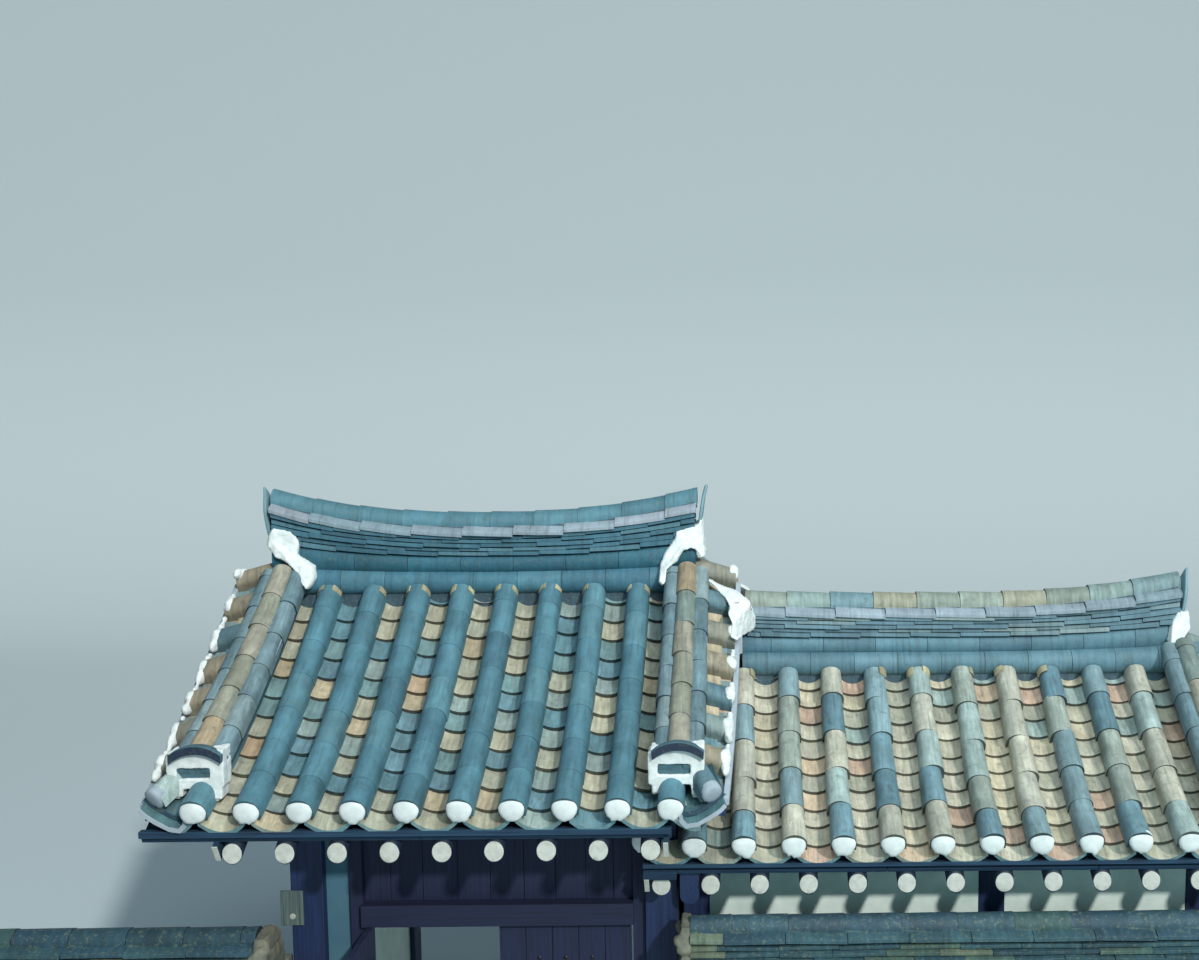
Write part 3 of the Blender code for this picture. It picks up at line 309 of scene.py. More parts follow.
tile = {"pitch": 0.30, "radius": 0.0775, "coverLength": 0.255, "valleyLap": 0.06, "valleyHalf": 0.132,
        "valleyDepth": 0.085, "valleyBow": 4.6, "thick": 0.026, "tip": 0.020, "drop": 0.055, "arcSteps": 12}
gateRoof = {"half": 1.80, "eave": 2.90, "run": 1.68, "rise": 0.965, "sag": 0.05, "rows": 10,
            "firstRow": 0.0, "left": -0.15, "right": 2.85, "ridgeHalf": 0.15, "rowEnd": 1.668,
            "show": 0.143, "taper": 0.002, "joint": 0.5, "ridgeShift": 0.006, "footOut": 0.0, "eaveLift": 0.034}
wingRoof = {"half": 1.374, "eave": 2.512, "run": 1.25, "rise": 0.805, "sag": 0.03, "rows": 12,
            "firstRow": 2.816, "left": 2.706, "right": 6.266, "ridgeHalf": 0.15, "rowEnd": 1.195,
            "show": 0.120, "taper": 0.009, "joint": 0.2, "ridgeShift": -0.034, "footOut": 0.022, "eaveLift": 0.045}

slate = {"#496d7a": 5, "#466a77": 4, "#4f727e": 3, "#436573": 2}
slateRow = {"#4b727f": 5, "#476e7b": 4, "#517782": 3, "#436876": 2}
slateOld = {"#8e9c98": 4, "#a29f92": 4, "#64808a": 2, "#758b91": 3, "#a8a394": 3, "#888f86": 3, "#56727d": 1}
slateGrey = {"#677b82": 3, "#5b7179": 3, "#738285": 2}
ochreMix = {"#9c9581": 4, "#949180": 4, "#7b8783": 3, "#657e7f": 3, "#52717a": 3, "#a3937a": 2, "#5c7882": 2,
            "#a0886f": 1}
ochreWarm = {"#aaa291": 5, "#9f9987": 4, "#b2a68f": 3, "#979384": 3, "#a88d7b": 2, "#838f8a": 2, "#b8a189": 1}
ochreTop = {"#8b8577": 4, "#807e70": 3, "#717d77": 2, "#96836b": 1}
ochreVerge = {"#807c6f": 4, "#516d77": 3, "#6a7876": 3, "#8a7f6c": 2}
ledgePalette = {"#8b969f": 5, "#838f98": 4, "#7a8a92": 2, "#9298a1": 2}
eaveLip = {"#728e92": 3, "#62838a": 3, "#8a968c": 1}


def height(roof, run):  # centre line of the convex rows over the ground
    bend = 4 * roof["sag"] / roof["run"] ** 2
    return roof["eave"] + (roof["rise"] / roof["run"] - bend * roof["run"]) * run + bend * run ** 2


def onSlope(roof, side, across, up, run):  # up is square to the slope; side -1 is the front
    tilt = math.atan((height(roof, run + 0.01) - height(roof, run - 0.01)) / 0.02)
    return Vector((across, side * (roof["half"] - run + up * math.sin(tilt)), height(roof, run) + up * math.cos(tilt)))


def coverTile(piece, where, centre, start, end, tone, radius=tile["radius"], base=0.0, steps=2, taper=0.004,
              joint=0.25):
    # Half-round tile; where(across, up, along). Its mouth is at start, where it laps the next one
    grids = [], []
    for share in (i / steps for i in range(steps + 1)):
        along, r = start + (end - start) * share, radius - taper * share
        for grid, rise, fall in zip(grids, (r, 0.0), (0.0, tile["drop"])):
            grid.append([where(centre - r * math.cos(a), base - fall + rise * math.sin(a), along)
                         for a in arc(0, 180, tile["arcSteps"])])
    piece.slab(*grids, tone, shade(tone, joint))


def valleyTile(piece, where, centre, start, end, tone, half=tile["valleyHalf"], tip=tile["tip"], limits=(-99, 99),
               base=0.0, thick=tile["thick"], mouth=None):
    # Shallow trough tile, tipped so that its thick lip lies on the tile below; the lip's face is darker, partly grime
    # and partly painted shade
    low, high = max(centre - half, limits[0]), min(centre + half, limits[1])
    xs = [low + (high - low) * k / 10 for k in range(11)]
    line = [(x, tile["valleyBow"] * (x - centre) ** 2 - tile["valleyDepth"]) for x in xs]
    stations = [(start + (end - start) * share, base + tip * (1 - 2 * share) - (0.002 if share == 0.0 else 0.0))
                for share in (0.0, 0.08, 0.5, 1.0)]
    piece.flat(where, line, thick, stations, tone, mouth or shade(tone, 0.22))


def capDisc(piece, centre, radius, facing, draw, drip):
    # Plaster plug in the mouth of a convex tile, its lower rim smeared on the tiles below
    forward = Vector(facing).normalized()
    side = forward.cross(Vector((0, 0, 1))).normalized()
    up = side.cross(forward)
    phase = draw.uniform(0, 6)
    ragged = [draw.uniform(-0.5, 1.0) for _ in range(28)]
    rings = []
    for depth, share in ((-0.040, 0.97), (-0.006, 1.0), (0.006, 0.95), (0.013, 0.74), (0.017, 0.4), (0.018, 0.12)):
        ring = []
        for angle, rag in zip(turns(28), ragged):
            r = radius * share * (1 + 0.025 * math.sin(3 * angle + phase) + draw.uniform(-0.008, 0.008))
            r += drip * max(0.0, -math.sin(angle)) ** 3 * max(0.0, rag) * share
            ring.append(centre + side * r * math.cos(angle) + up * r * math.sin(angle) + forward * depth)
        rings.append(ring)
    piece.loft(rings, shade(white, draw.uniform(0.88, 1.0)))


def layField(label, roof, side, coverTones, valleyTones, coverMaterial, seed, replaces, corner=None):
    # Trough tiles first, then the half-round rows over their edges, with a plaster plug at each eave end
    draw = random.Random(seed)
    covers, valleys, caps, collars = Piece(), Piece(), Piece(), Piece()

    def where(across, up, run):
        return onSlope(roof, side, across, up, run)

    def whereRow(across, up, run):  # the lowest tiles of a row are bedded up on mortar
        lift = roof["eaveLift"] * max(0.0, 1 - run / 0.55) ** 2 + (0.045 if across < roof["left"] - 0.1 else 0.0)
        return onSlope(roof, side, across, up + lift, run)

    top = roof["rowEnd"] + 0.09
    rows = [roof["firstRow"] + k * tile["pitch"] for k in range(-1 if corner else 0, roof["rows"])]
    for x in [row - 0.5 * tile["pitch"] for row in rows] + [rows[-1] + 0.5 * tile["pitch"]]:
        run = -0.030
        while run < top - 0.06:
            inFront = corner and run + roof["show"] + 0.02 < corner["run"]
            left = corner["left"] if inFront else roof["left"]
            step = roof["show"] * (draw.uniform(0.90, 1.10) if run > 0.0 else 0.62)
            if x + tile["valleyHalf"] > left + 0.02:
                end = min(run + step + tile["valleyLap"], corner["run"] if inFront else top)
                eave = run < 0.0  # a thick tile there hangs over the eave board
                valleyTile(valleys, where, x + draw.uniform(-0.004, 0.004), run - 0.012 * eave, end,
                           pick(draw, valleyTones), limits=(left, roof["right"] + 0.02),
                           tip=tile["tip"] + draw.uniform(-0.002, 0.004) - 0.030 * eave, base=-0.008 * eave,
                           thick=0.034 if eave else tile["thick"], mouth=pick(draw, eaveLip) if eave else None)
            run += step
    for x in rows:
        run, length = -0.030, tile["coverLength"] * draw.uniform(0.75, 1.1)
        stop = corner["run"] if corner and x < roof["left"] else roof["rowEnd"]
        while run < stop - 0.03:
            end = min(run + length, stop)
            if stop - end < 0.08:
                end = stop
            shift = x + draw.uniform(-1, 1) * roof["taper"] * 0.8
            coverTile(covers, whereRow, shift, run, min(end + 0.014, stop), pick(draw, coverTones),
                      base=draw.uniform(-0.4, 0.4) * roof["taper"], steps=3, taper=roof["taper"], joint=roof["joint"])
            run, length = end, tile["coverLength"] * draw.uniform(0.95, 1.05)
        for flank in (-1, 1):  # dabs of plaster where the row runs under the ridge
            if draw.random() < (0.8 if roof is gateRoof else 0.35):
                angles = arc(draw.uniform(-5, 15), draw.uniform(50, 72), 5)
                collars.slab(*([[where(x + flank * r * math.cos(a), r * math.sin(a), along) for a in angles]
                                for along in (roof["rowEnd"] - draw.uniform(0.03, 0.05), roof["rowEnd"])]
                               for r in (0.0815, 0.070)), pick(draw, {"#a3987a": 2, "#8f8c76": 2}))
        capDisc(caps, whereRow(x, 0.001, -0.036), tile["radius"] * 0.955, Vector((0, side, -0.12)), draw,
                draw.uniform(0.004, 0.028))
    covers.make(label + "Rows", coverMaterial, "roof_tile", replaces=replaces, sharp=50)
    valleys.make(label + "Troughs", oldClay, "roof_tile", sharp=50)
    caps.make(label + "EavePlugs", capPlaster, "plaster", sharp=60)
    if collars.faces:
        collars.make(label + "RowCollars", oldClay, "plaster")


# Ridges

# The bugo rolls take darker tones than the low rolls: painted shade, as they sit under the flat courses
ridgeTones = {"gate": {"layers": {"#3f6878": 3, "#386070": 3, "#4d727f": 1},
                       "low": {"#3b697a": 5, "#376578": 4, "#426e7e": 3}, "bugo": {"#245666": 3, "#205162": 2},
                       "top": {"#4b737f": 5, "#476f7c": 4, "#527884": 3}},
              "wing": {"layers": {"#647f8a": 3, "#5b7682": 3, "#73878d": 2, "#7c8b8c": 1},
                       "low": {"#54737f": 3, "#4d6d79": 3}, "bugo": {"#4c6f7c": 3, "#466877": 2},
                       "top": {"#6c8184": 4, "#7f877d": 3, "#627c84": 3, "#768682": 3, "#58727c": 2, "#888573": 1}}}
ridgeShape = {"layerReach": (0.130, 0.124, 0.134, 0.128, 0.137), "layerBase": 0.178, "layerStep": 0.0285,
              "layerThick": 0.0215, "sweep": 2.4, "pieceLength": 0.345, "topLength": 0.30, "topHalf": 0.086,
              "joint": 0.001}


def spans(left, right, length, offset=0.0):  # joints along a course, the first piece cut to the offset
    joints, x = [left], left + (offset or length)
    while x < right - 0.04:
        joints.append(x)
        x += length
    return list(zip(joints, joints[1:] + [right]))


def layRidge(label, roof, left, right, lifts, tones, seed, replaces):
    # From the bed up: two half-round courses on each side, thin staggered layers, a ledge and the top row
    draw = random.Random(seed)
    rolls, flats, tops, core = Piece(), Piece(), Piece(), Piece()
    out, gap = roof["footOut"], ridgeShape["joint"]
    bed = height(roof, roof["half"] - roof["ridgeHalf"]) + tile["radius"] + roof["ridgeShift"]
    middle = (left + right) / 2

    def where(across, up, x):  # the upper courses carry the whole sweep
        share = (x - middle) / (right - middle)
        lift = lifts[share > 0] * abs(share) ** ridgeShape["sweep"]
        return Vector((x, across, bed + up + lift * min(1.0, max(0.0, (up + 0.02) / 0.33))))

    for side in (-1, 1):
        for centre, up, r, length, palette, offset in (
                (0.088 + out, -0.012, 0.082, tile["pitch"], tones["low"], tile["pitch"] / 2 + 0.02),
                (0.062, 0.108, 0.074, 0.36, tones["bugo"], 0.2)):
            for x0, x1 in spans(left + (0.012 if roof is gateRoof else -0.022), right - 0.012, length, offset):
                tone, push = pick(draw, palette), draw.uniform(-0.002, 0.003)
                angles, xs = arc(40, 265, 14), (x0 + 0.0015, (x0 + x1) / 2, x1 - 0.0015)
                top = [[where(side * (centre + push - r * math.cos(a)), up + r * math.sin(a), x) for a in angles] +
                       [where(side * centre, up - r - 0.06, x)] for x in xs]
                under = [[where(side * 0.02, up + r * 0.6 * math.sin(a), x) for a in angles] +
                         [where(side * 0.02, up - r - 0.05, x)] for x in xs]
                rolls.slab(top, under, tone, shade(tone, 0.3))
        for layer, reach in enumerate(ridgeShape["layerReach"]):
            low = ridgeShape["layerBase"] + layer * ridgeShape["layerStep"] + ridgeShape["layerThick"]
            for x0, x1 in spans(left + 0.014, right - 0.014, ridgeShape["pieceLength"] * (1 + 0.06 * layer),
                                0.09 + 0.083 * layer):
                edge, tip = reach + draw.uniform(-0.008, 0.006), draw.uniform(0.002, 0.005)
                flats.flat(lambda a, u, x: where(side * a, low + u, x),
                           ((0.05, 0.004), (edge * 0.8, 0.002), (edge, -0.003)), ridgeShape["layerThick"],
                           ((x0 + gap, tip), ((x0 + x1) / 2, 0.0), (x1 - gap, -tip)), pick(draw, tones["layers"]))
        for x0, x1 in spans(left + 0.006, right - 0.006, ridgeShape["pieceLength"], 0.27):
            edge = 0.151 + draw.uniform(-0.005, 0.004)
            tip = draw.uniform(0.005, 0.009)  # each laps the next, so one end stands higher
            tone = pick(draw, ledgePalette)
            flats.flat(lambda a, u, x: where(side * a, u, x), ((0.05, 0.372), (0.09, 0.366), (0.125, 0.354),
                                                               (edge, 0.338), (edge + 0.001, 0.330)), 0.020,
                       ((x0 + gap, tip), ((x0 + x1) / 2, 0.0), (x1 - gap, -tip)), tone, shade(tone, 0.35), 0.002)
    for x0, x1 in spans(left, right, ridgeShape["topLength"], 0.29):
        tone = pick(draw, tones["top"])
        tip = draw.uniform(0.001, 0.004) if roof is wingRoof else 0.001
        top, under = [], []
        for k, x in enumerate((x0 + gap, (x0 * 2 + x1) / 3, (x0 + 2 * x1) / 3, x1 - gap)):
            wide = ridgeShape["topHalf"] - 0.005 * k / 3
            angles = arc(0, 180, 14)
            top.append([where(-wide * math.cos(a), 0.378 + wide * math.sin(a) + tip * (1 - 2 * k / 3), x)
                        for a in angles])
            under.append([where(-wide * math.cos(a), 0.345, x) for a in angles])
        tops.slab(top, under, tone, shade(tone, 0.25))
    half = ((0.13 + out, -0.19), (0.12 + out, 0.02), (0.100, 0.10), (0.097, 0.35), (0.06, 0.40))
    outline = [(-a, u) for a, u in half] + list(reversed(half))
    # the core's dark tone is painted shade, where it fills in under the rolls
    core.loft([[where(a, u, left + 0.02 + (right - left - 0.04) * k / 14) for a, u in outline] for k in range(15)],
              linear("#2f4450"))
    rolls.make(label + "RollCourses", gateClay, "roof_tile", replaces=replaces, sharp=50)
    flats.make(label + "FlatCourses", gateClay, "roof_tile", bevel=0.002)
    tops.make(label + "TopRow", oldClay if roof is wingRoof else gateClay, "roof_tile", sharp=50)
    core.make(label + "ClayCore", oldClay, "roof_tile")
    return where


def layEndTile(label, foot, outward, seed):
    # Tall pointed end tile that closes the ridge, leaning outward, with two pressed bands on its face
    shape, tone = Piece(), "#6f8f98"
    half = [(0.092, 0.0), (0.108, 0.06), (0.112, 0.13), (0.098, 0.19), (0.060, 0.25), (0.026, 0.295)]
    outline = [(-a, rise) for a, rise in half] + [(0.0, 0.325)] + half[::-1]

    def lean(depth, a, rise):
        return outward * (depth + 0.05 * rise + 0.40 * rise ** 2 + 0.5 * a * a)

    shape.loft([[foot + Vector((lean(depth, a, rise * share), a * share, rise * share)) for a, rise in outline]
                for depth, share in ((-0.012, 0.95), (-0.007, 1.0), (0.007, 1.0), (0.012, 0.95))],
               pick(random.Random(seed), {tone: 1}))
    for a, r0, r1 in ((0.070, 0.085, 0.097), (0.075, 0.145, 0.157)):
        shape.loft([[foot + Vector((lean(d, b, r), b, r)) for b, r in ((-a, r0), (a, r0), (a, r1), (-a, r1))]
                    for d in (0.009, 0.017)], linear(tone))
    shape.make(label, gateClay, "roof_tile", bevel=0.003)


for label, roof, side, coverTones, valleyTones, finished, seed, replaced, corner in (
        ("gateFront", gateRoof, -1, slateRow, ochreMix, gateClay, 11, ("gate_tiles_front",), None),
        ("gateBack", gateRoof, 1, slateRow, ochreMix, gateClay, 12, ("gate_tiles_back",), None),
        ("wingFront", wingRoof, -1, slateOld, ochreWarm, oldClay, 13, ("wing_tiles_front", "wing_corner_tiles"),
         {"left": 2.502, "run": 0.170}),
        ("wingBack", wingRoof, 1, slateOld, ochreWarm, oldClay, 14, ("wing_tiles_back",), None)):
    layField(label, roof, side, coverTones, valleyTones, finished, seed, replaced, corner)
gateWhere = layRidge("gateRidge", gateRoof, -0.105, 2.805, (0.165, 0.165), ridgeTones["gate"], 21, ("gate_ridge",))
wingWhere = layRidge("wingRidge", wingRoof, 3.1303, 6.150, (0.02, 0.14), ridgeTones["wing"], 22, ("wing_ridge",))
for label, where, x, outward, seed in (("gateRidgeEndLeft", gateWhere, -0.112, -1, 31),
                                       ("gateRidgeEndRight", gateWhere, 2.812, 1, 32),
                                       ("wingRidgeEndRight", wingWhere, 6.157, 1, 33)):
    layEndTile(label, where(0.0, 0.205, x), outward, seed)
print("tile fields and ridges laid")

# Side ridges and side tiles

sideRidge = {"eaveEnd": 0.150, "lowRadius": 0.063, "lowAt": 0.092, "lowBase": 0.124, "topRadius": 0.070,
             "topBase": 0.160, "length": 0.25, "archHalf": 0.152, "archTop": 0.368, "archSag": 0.055,
             "archThick": 0.048, "rowStart": 0.238, "lift": 0.062, "faceBack": 0.092, "plugBack": 0.22}


def laySideRidge(label, roof, side, centre, drift, seed, replaces):
    # Three half-round rows down the slope, the middle one on top, ending in an arched tile over plaster
    draw = random.Random(seed)
    rows, bed, beads, plug, recess = Piece(), Piece(), Piece(), Piece(), Piece()
    start, end = sideRidge["eaveEnd"], roof["half"] - roof["ridgeHalf"] + 0.05

    def where(across, up, run):
        share = 1 - min(1.0, max(0.0, run / end))
        return onSlope(roof, side, across + centre + drift * share, up + sideRidge["lift"] * share ** 2, run)

    runs = [start + 0.07] + [start + (end - start) * k / 6 for k in range(1, 7)]
    bed.loft([[where(a, u, r) for a, u in ((-0.115, -0.03), (-0.112, 0.10), (-0.06, 0.15), (0.06, 0.15), (0.112, 0.10),
                                           (0.115, -0.03))] for r in runs], linear("#33505c"))
    for x0, x1 in spans(start + 0.014, end, 0.3, 0.2):
        for flank in (-1, 1):
            ends = sorted((flank * 0.03, flank * (0.136 + draw.uniform(-0.005, 0.005))))
            bed.flat(where, [(a, 0.104) for a in ends], 0.024, ((x0 + 0.001, 0), (x1 - 0.001, 0)), pick(draw, slate))
    for flank in (-1, 1):  # bead of mortar squeezed out under the side rows, broken here and there
        run = start + 0.05
        while run < end - 0.2:
            stop = run + draw.uniform(0.08, 0.2)
            thick = draw.uniform(0.008, 0.014)
            beads.loft([[where(flank * (0.137 + 0.012 * math.cos(t)), 0.112 + grow * thick * math.sin(t), r)
                         for t in turns(8)] for r, grow in ((run, 0.3), (run + 0.04, 1.0), (stop - 0.04, 0.9),
                                                            (stop, 0.3))], linear("#b9b4a8"))
            run = stop + draw.uniform(0.1, 0.45)
    low = (sideRidge["lowBase"], sideRidge["lowRadius"], slateGrey)
    for across, (base, radius, tones), offset in (
            (-sideRidge["lowAt"], low, 0.17), (sideRidge["lowAt"], low, 0.21),
            (0.0, (sideRidge["topBase"], sideRidge["topRadius"], ochreTop), 0.24)):
        for x0, x1 in spans(sideRidge["rowStart"], end, sideRidge["length"], offset):
            coverTile(rows, where, across + draw.uniform(-0.004, 0.004), x0, x1 + 0.01, pick(draw, tones),
                      radius, base + draw.uniform(-0.002, 0.002), 3, 0.007)
    rows.make(label + "Rows", oldClay, "roof_tile", replaces=replaces, sharp=50)
    beads.make(label + "Mortar", edgePlaster, "plaster")
    # at the eave an arched tile over an upright block of plaster with a slot, whose feet run down into the troughs
    middle = centre + drift + (0.012 if roof is gateRoof and centre < 1 else 0.0)

    def atEave(across, up, back):
        return Vector((middle + across, side * (roof["half"] - back), roof["eave"] + up))

    grids = [[[atEave(sideRidge["archHalf"] * grow * q * narrow,
                      sideRidge["archTop"] - sideRidge["archSag"] * abs(q) ** 2.2 - drop - thick, back)
               for q in (-1 + k / 8 for k in range(17))]
              for back, grow, drop in ((0.060, 0.99, 0.004), (0.066, 1.0, 0.0), (0.095, 1.0, 0.0),
                                       (0.125, 0.97, 0.004))]
             for thick, narrow in ((0.0, 1.0), (sideRidge["archThick"], 0.98))]
    # the arched tile's front edge is painted near black: painted shade under the arch
    bed.slab(*grids, linear("#3d5a66"), linear("#142238"))
    bed.make(label + "Bed", gateClay, "roof_tile", bevel=0.002)
    face, back = sideRidge["faceBack"], sideRidge["plugBack"]
    parts = [(-0.160, 0.140, 0.228, 0.325, face, back), (-0.160, 0.140, 0.105, 0.165, face, back),
             (-0.175, -0.118, 0.11, 0.30, face, back), (0.072, 0.152, 0.12, 0.338, face, back),
             (-0.150, -0.085, 0.06, 0.13, face, back), (0.075, 0.138, 0.045, 0.14, face, back)]
    for a, foot in ((-0.130, 0.045), (0.090, 0.025), (0.122, 0.05)):
        a += draw.uniform(-0.01, 0.01)
        parts.append((a - 0.016, a + 0.016, foot, 0.12, face + 0.01, back - 0.01))
    for a0, a1, z0, z1, near, far in parts + [(-0.14, 0.13, 0.12, 0.30, back - 0.07, back)]:
        y0, y1 = (far, near) if side > 0 else (near, far)
        plug.block(atEave(a0, z0, y0), atEave(a1, z1, y1), white)
    fuse(label + "EndPlaster", plug, capPlaster, "plaster", 0.007, 0.004, seed=seed)
    recess.loft([[atEave(a, z, y) for a, z in ((-0.13, 0.150), (0.085, 0.150), (0.085, 0.240), (-0.13, 0.240))]
                 for y in (0.112, 0.125, 0.13)], linear("#41606a"))
    recess.make(label + "SlotBack", gateClay, "roof_tile", bevel=0.002)


for label, roof, side, centre, drift, seed, replaced in (
        ("gateSideRidgeFrontLeft", gateRoof, -1, 0.0, -0.034, 41, "gate_side_ridge_left_front"),
        ("gateSideRidgeFrontRight", gateRoof, -1, 2.735, 0.004, 42, "gate_side_ridge_right_front"),
        ("gateSideRidgeBackLeft", gateRoof, 1, 0.0, -0.034, 43, "gate_side_ridge_left_back"),
        ("gateSideRidgeBackRight", gateRoof, 1, 2.735, 0.004, 44, "gate_side_ridge_right_back"),
        ("wingSideRidgeFront", wingRoof, -1, 6.141, 0.0, 45, "wing_side_ridge_front"),
        ("wingSideRidgeBack", wingRoof, 1, 6.141, 0.0, 46, "wing_side_ridge_back")):
    laySideRidge(label, roof, side, centre, drift, seed, (replaced,))

verge = {"pitch": 0.24, "radius": 0.066, "inner": 0.052, "fall": 0.085, "strip": 0.032, "endCut": 0.13}


def lump(piece, centre, size, draw):  # rough egg of plaster
    piece.loft([[centre + Vector((size[0] * math.sin(polar) * math.cos(a) * draw.uniform(0.9, 1.1),
                                  size[1] * math.sin(polar) * math.sin(a) * draw.uniform(0.9, 1.1),
                                  size[2] * math.cos(polar))) for a in turns(10)]
                for polar in (math.pi * k / 8 for k in range(1, 8))], white)


def layVerge(label, roof, inner, outer, drift, seed, replaces):
    # Short rows across the gable's edge, tipped outward, each plugged with plaster
    draw = random.Random(seed)
    covers, troughs, plugs, strip, bed, board = Piece(), Piece(), Piece(), Piece(), Piece(), Piece()
    toward = 1 if outer > inner else -1
    length = abs(outer - inner) - 0.02
    count = int((roof["half"] - 0.30) / verge["pitch"])

    def over(y, up, s):  # s runs outward from the inner edge, y along the gable
        lowered = up + verge["inner"] - verge["fall"] * s / length
        spot = onSlope(roof, -1 if y < 0 else 1, inner + toward * s, lowered, roof["half"] - abs(y))
        return spot - Vector((toward * drift * (y / roof["half"]) ** 2 * s / length, 0, 0))

    for k in range(-count, count + 1):
        y = verge["pitch"] * k

        def across(a, up, s, y=y):
            return over(y + a if y else a, up, s)

        coverTile(covers, across, 0.0, length - 0.012, -0.08, pick(draw, ochreVerge),
                  verge["radius"] + draw.uniform(-0.003, 0.003), -0.002, 2)
        end = across(0.0, 0.020, length - 0.036)
        lump(plugs, end, (0.046, 0.064, 0.058), draw)
        slope = over(y - 0.08 * (1 if k > 0 else -1), 0.0, length) - over(y, 0.0, length)
        for share, size in ((0.6, 0.040), (1.0, 0.028), (1.4, 0.020), (-0.7, 0.042), (-1.1, 0.026)):
            if draw.random() < 0.75:
                lump(plugs, end + slope * share + Vector((toward * 0.012, 0, -0.012)),
                     (size * 0.7, size * 1.2, size * draw.uniform(0.8, 1.2)), draw)
    for y in (verge["pitch"] * (k + 0.5) for k in range(-count - 1, count + 1)):
        if roof["half"] - abs(y) >= verge["endCut"]:
            for s0, s1 in ((length + 0.004, length - 0.13), (length - 0.10, -0.06)):
                valleyTile(troughs, lambda a, up, s: over(y + a, up, s), 0.0, s0, s1, pick(draw, ochreMix),
                           half=0.105, base=0.020, tip=0.012)
    reach = roof["half"] - verge["endCut"]
    ys = [-reach + 2 * reach * k / 32 for k in range(33)]
    edge, face = outer - toward * verge["strip"], outer - toward * 0.024

    def along(piece, outline, tone, rise=0.0):  # sweeps an outline of (x, below, share of the rise) over the gable
        piece.loft([[Vector((x - toward * drift * (y / roof["half"]) ** 2 * bent, y,
                             height(roof, roof["half"] - abs(y)) - below +
                             lifted * rise * max(0.0, (abs(y) - reach + 0.45) / 0.45) ** 1.3))
                     for x, below, bent, lifted in outline] for y in ys], tone)

    start, lip = inner - toward * 0.01, edge - toward * 0.004
    along(bed, ((start, 0.040, 0, 0), (edge, 0.085, 1, 0), (edge, 0.100, 1, 0), (start, 0.095, 0, 0)),
          linear("#6d7f80"))
    along(strip, ((lip, 0.044, 1, 0), (outer, 0.054, 1, 0), (outer, 0.095, 1, 0), (lip, 0.095, 1, 0)),
          linear("#b4b9bf"))
    along(board, ((face, 0.0955, 1, 0), (face - toward * 0.04, 0.0955, 1, 0), (face - toward * 0.04, 0.345, 1, 1),
                  (face, 0.345, 1, 1)), darkTone, 0.19)  # the board grows slimmer to the eaves
    covers.make(label + "Rows", oldClay, "roof_tile", replaces=replaces[:1], sharp=50)
    troughs.make(label + "Troughs", oldClay, "roof_tile", sharp=50)
    fuse(label + "Plugs", plugs, capPlaster, "plaster", 0.008, 0.006, seed=seed)
    bed.make(label + "Bed", oldClay, "roof_tile")
    strip.make(label + "EdgeStrip", edgePlaster, "plaster", bevel=0.006)
    board.make(label + "Bargeboard", woodY, "dark_wood", replaces=replaces[1:], bevel=0.004)


layVerge("gateVergeLeft", gateRoof, -0.150, -0.4003, 0.03, 51, ("gate_side_tiles_left", "gate_bargeboard_left"))
layVerge("gateVergeRight", gateRoof, 2.850, 3.1003, 0.08, 52, ("gate_side_tiles_right", "gate_bargeboard_right"))
layVerge("wingVergeRight", wingRoof, 6.266, 6.5003, 0.03, 53, ("wing_side_tiles", "wing_bargeboard"))


def layCorner(label, roof, side, row, toward, seed):
    # Oblique row with its plug, over a large trough tile that turns the corner of the eave
    draw = random.Random(seed)
    tiles, caps = Piece(), Piece()

    def at(x, y, z):
        return Vector((row + toward * x, side * (roof["half"] + y), roof["eave"] + z))

    foot = at(0.235, -0.012, 0.082)
    back = (at(-0.10, -0.19, 0.10) - at(0, 0, 0)).normalized()
    sideways = at(0.9, -0.45, 0) - at(0, 0, 0)
    aside = (sideways - back * sideways.dot(back)).normalized()
    above = aside.cross(back) * toward * side
    if above.z < 0:
        above = -above

    def oblique(a, up, s):
        return foot + aside * a + above * up + back * s

    coverTile(tiles, oblique, 0.0, 0.0, 0.26, pick(draw, slateOld), 0.062, 0.0, 2)
    capDisc(caps, oblique(0.0, 0.004, -0.004), 0.062, oblique(0, 0, -1) - oblique(0, 0, 0.0), draw, 0.02)
    mouth = ((0.044, -0.020, 0.064, -0.012), (0.050, -0.080, 0.072, -0.062), (0.085, -0.115, 0.098, -0.090),
             (0.150, -0.105, 0.155, -0.081), (0.230, -0.062, 0.226, -0.039), (0.290, -0.022, 0.280, -0.002),
             (0.322, 0.012, 0.308, 0.028))  # outer and inner line of the trough's open end
    inward = Vector((-0.25 * toward, -0.88 * side, 0.36)).normalized()
    nothing, over = Vector(), Vector((-0.012 * toward, -0.05 * side, 0.052))
    for target, shift, depths, tone in ((tiles, nothing, (0.006, 0.30), linear("#3f5f64")),
                                        (caps, nothing, (0.0, 0.007), rim),  # its lip, rimmed with lime
                                        (tiles, over, (0.006, 0.30), linear("#36545c")),
                                        (tiles, over, (0.0, 0.007), linear("#22394a"))):
        target.slab(*([[at(line[k], 0.02, line[k + 1]) + shift + inward * s * (1 - 0.1 * i / 6)
                        for i, line in enumerate(mouth)] for s in depths] for k in (2, 0)), tone)
    tiles.make(label + "Tiles", oldClay, "roof_tile", sharp=50)
    caps.make(label + "Plug", edgePlaster, "plaster", sharp=60)


for label, roof, side, row, toward, seed in (
        ("gateCornerFrontLeft", gateRoof, -1, 0.0, -1, 55), ("gateCornerFrontRight", gateRoof, -1, 2.70, 1, 56),
        ("gateCornerBackLeft", gateRoof, 1, 0.0, -1, 57), ("gateCornerBackRight", gateRoof, 1, 2.70, 1, 58),
        ("wingCornerFrontRight", wingRoof, -1, 6.116, 1, 59), ("wingCornerBackRight", wingRoof, 1, 6.116, 1, 60)):
    layCorner(label, roof, side, row, toward, seed)
print("side ridges, side tiles and corners laid")

# Plaster tongues at the ridge ends, each an outline with its distance from the ridge line

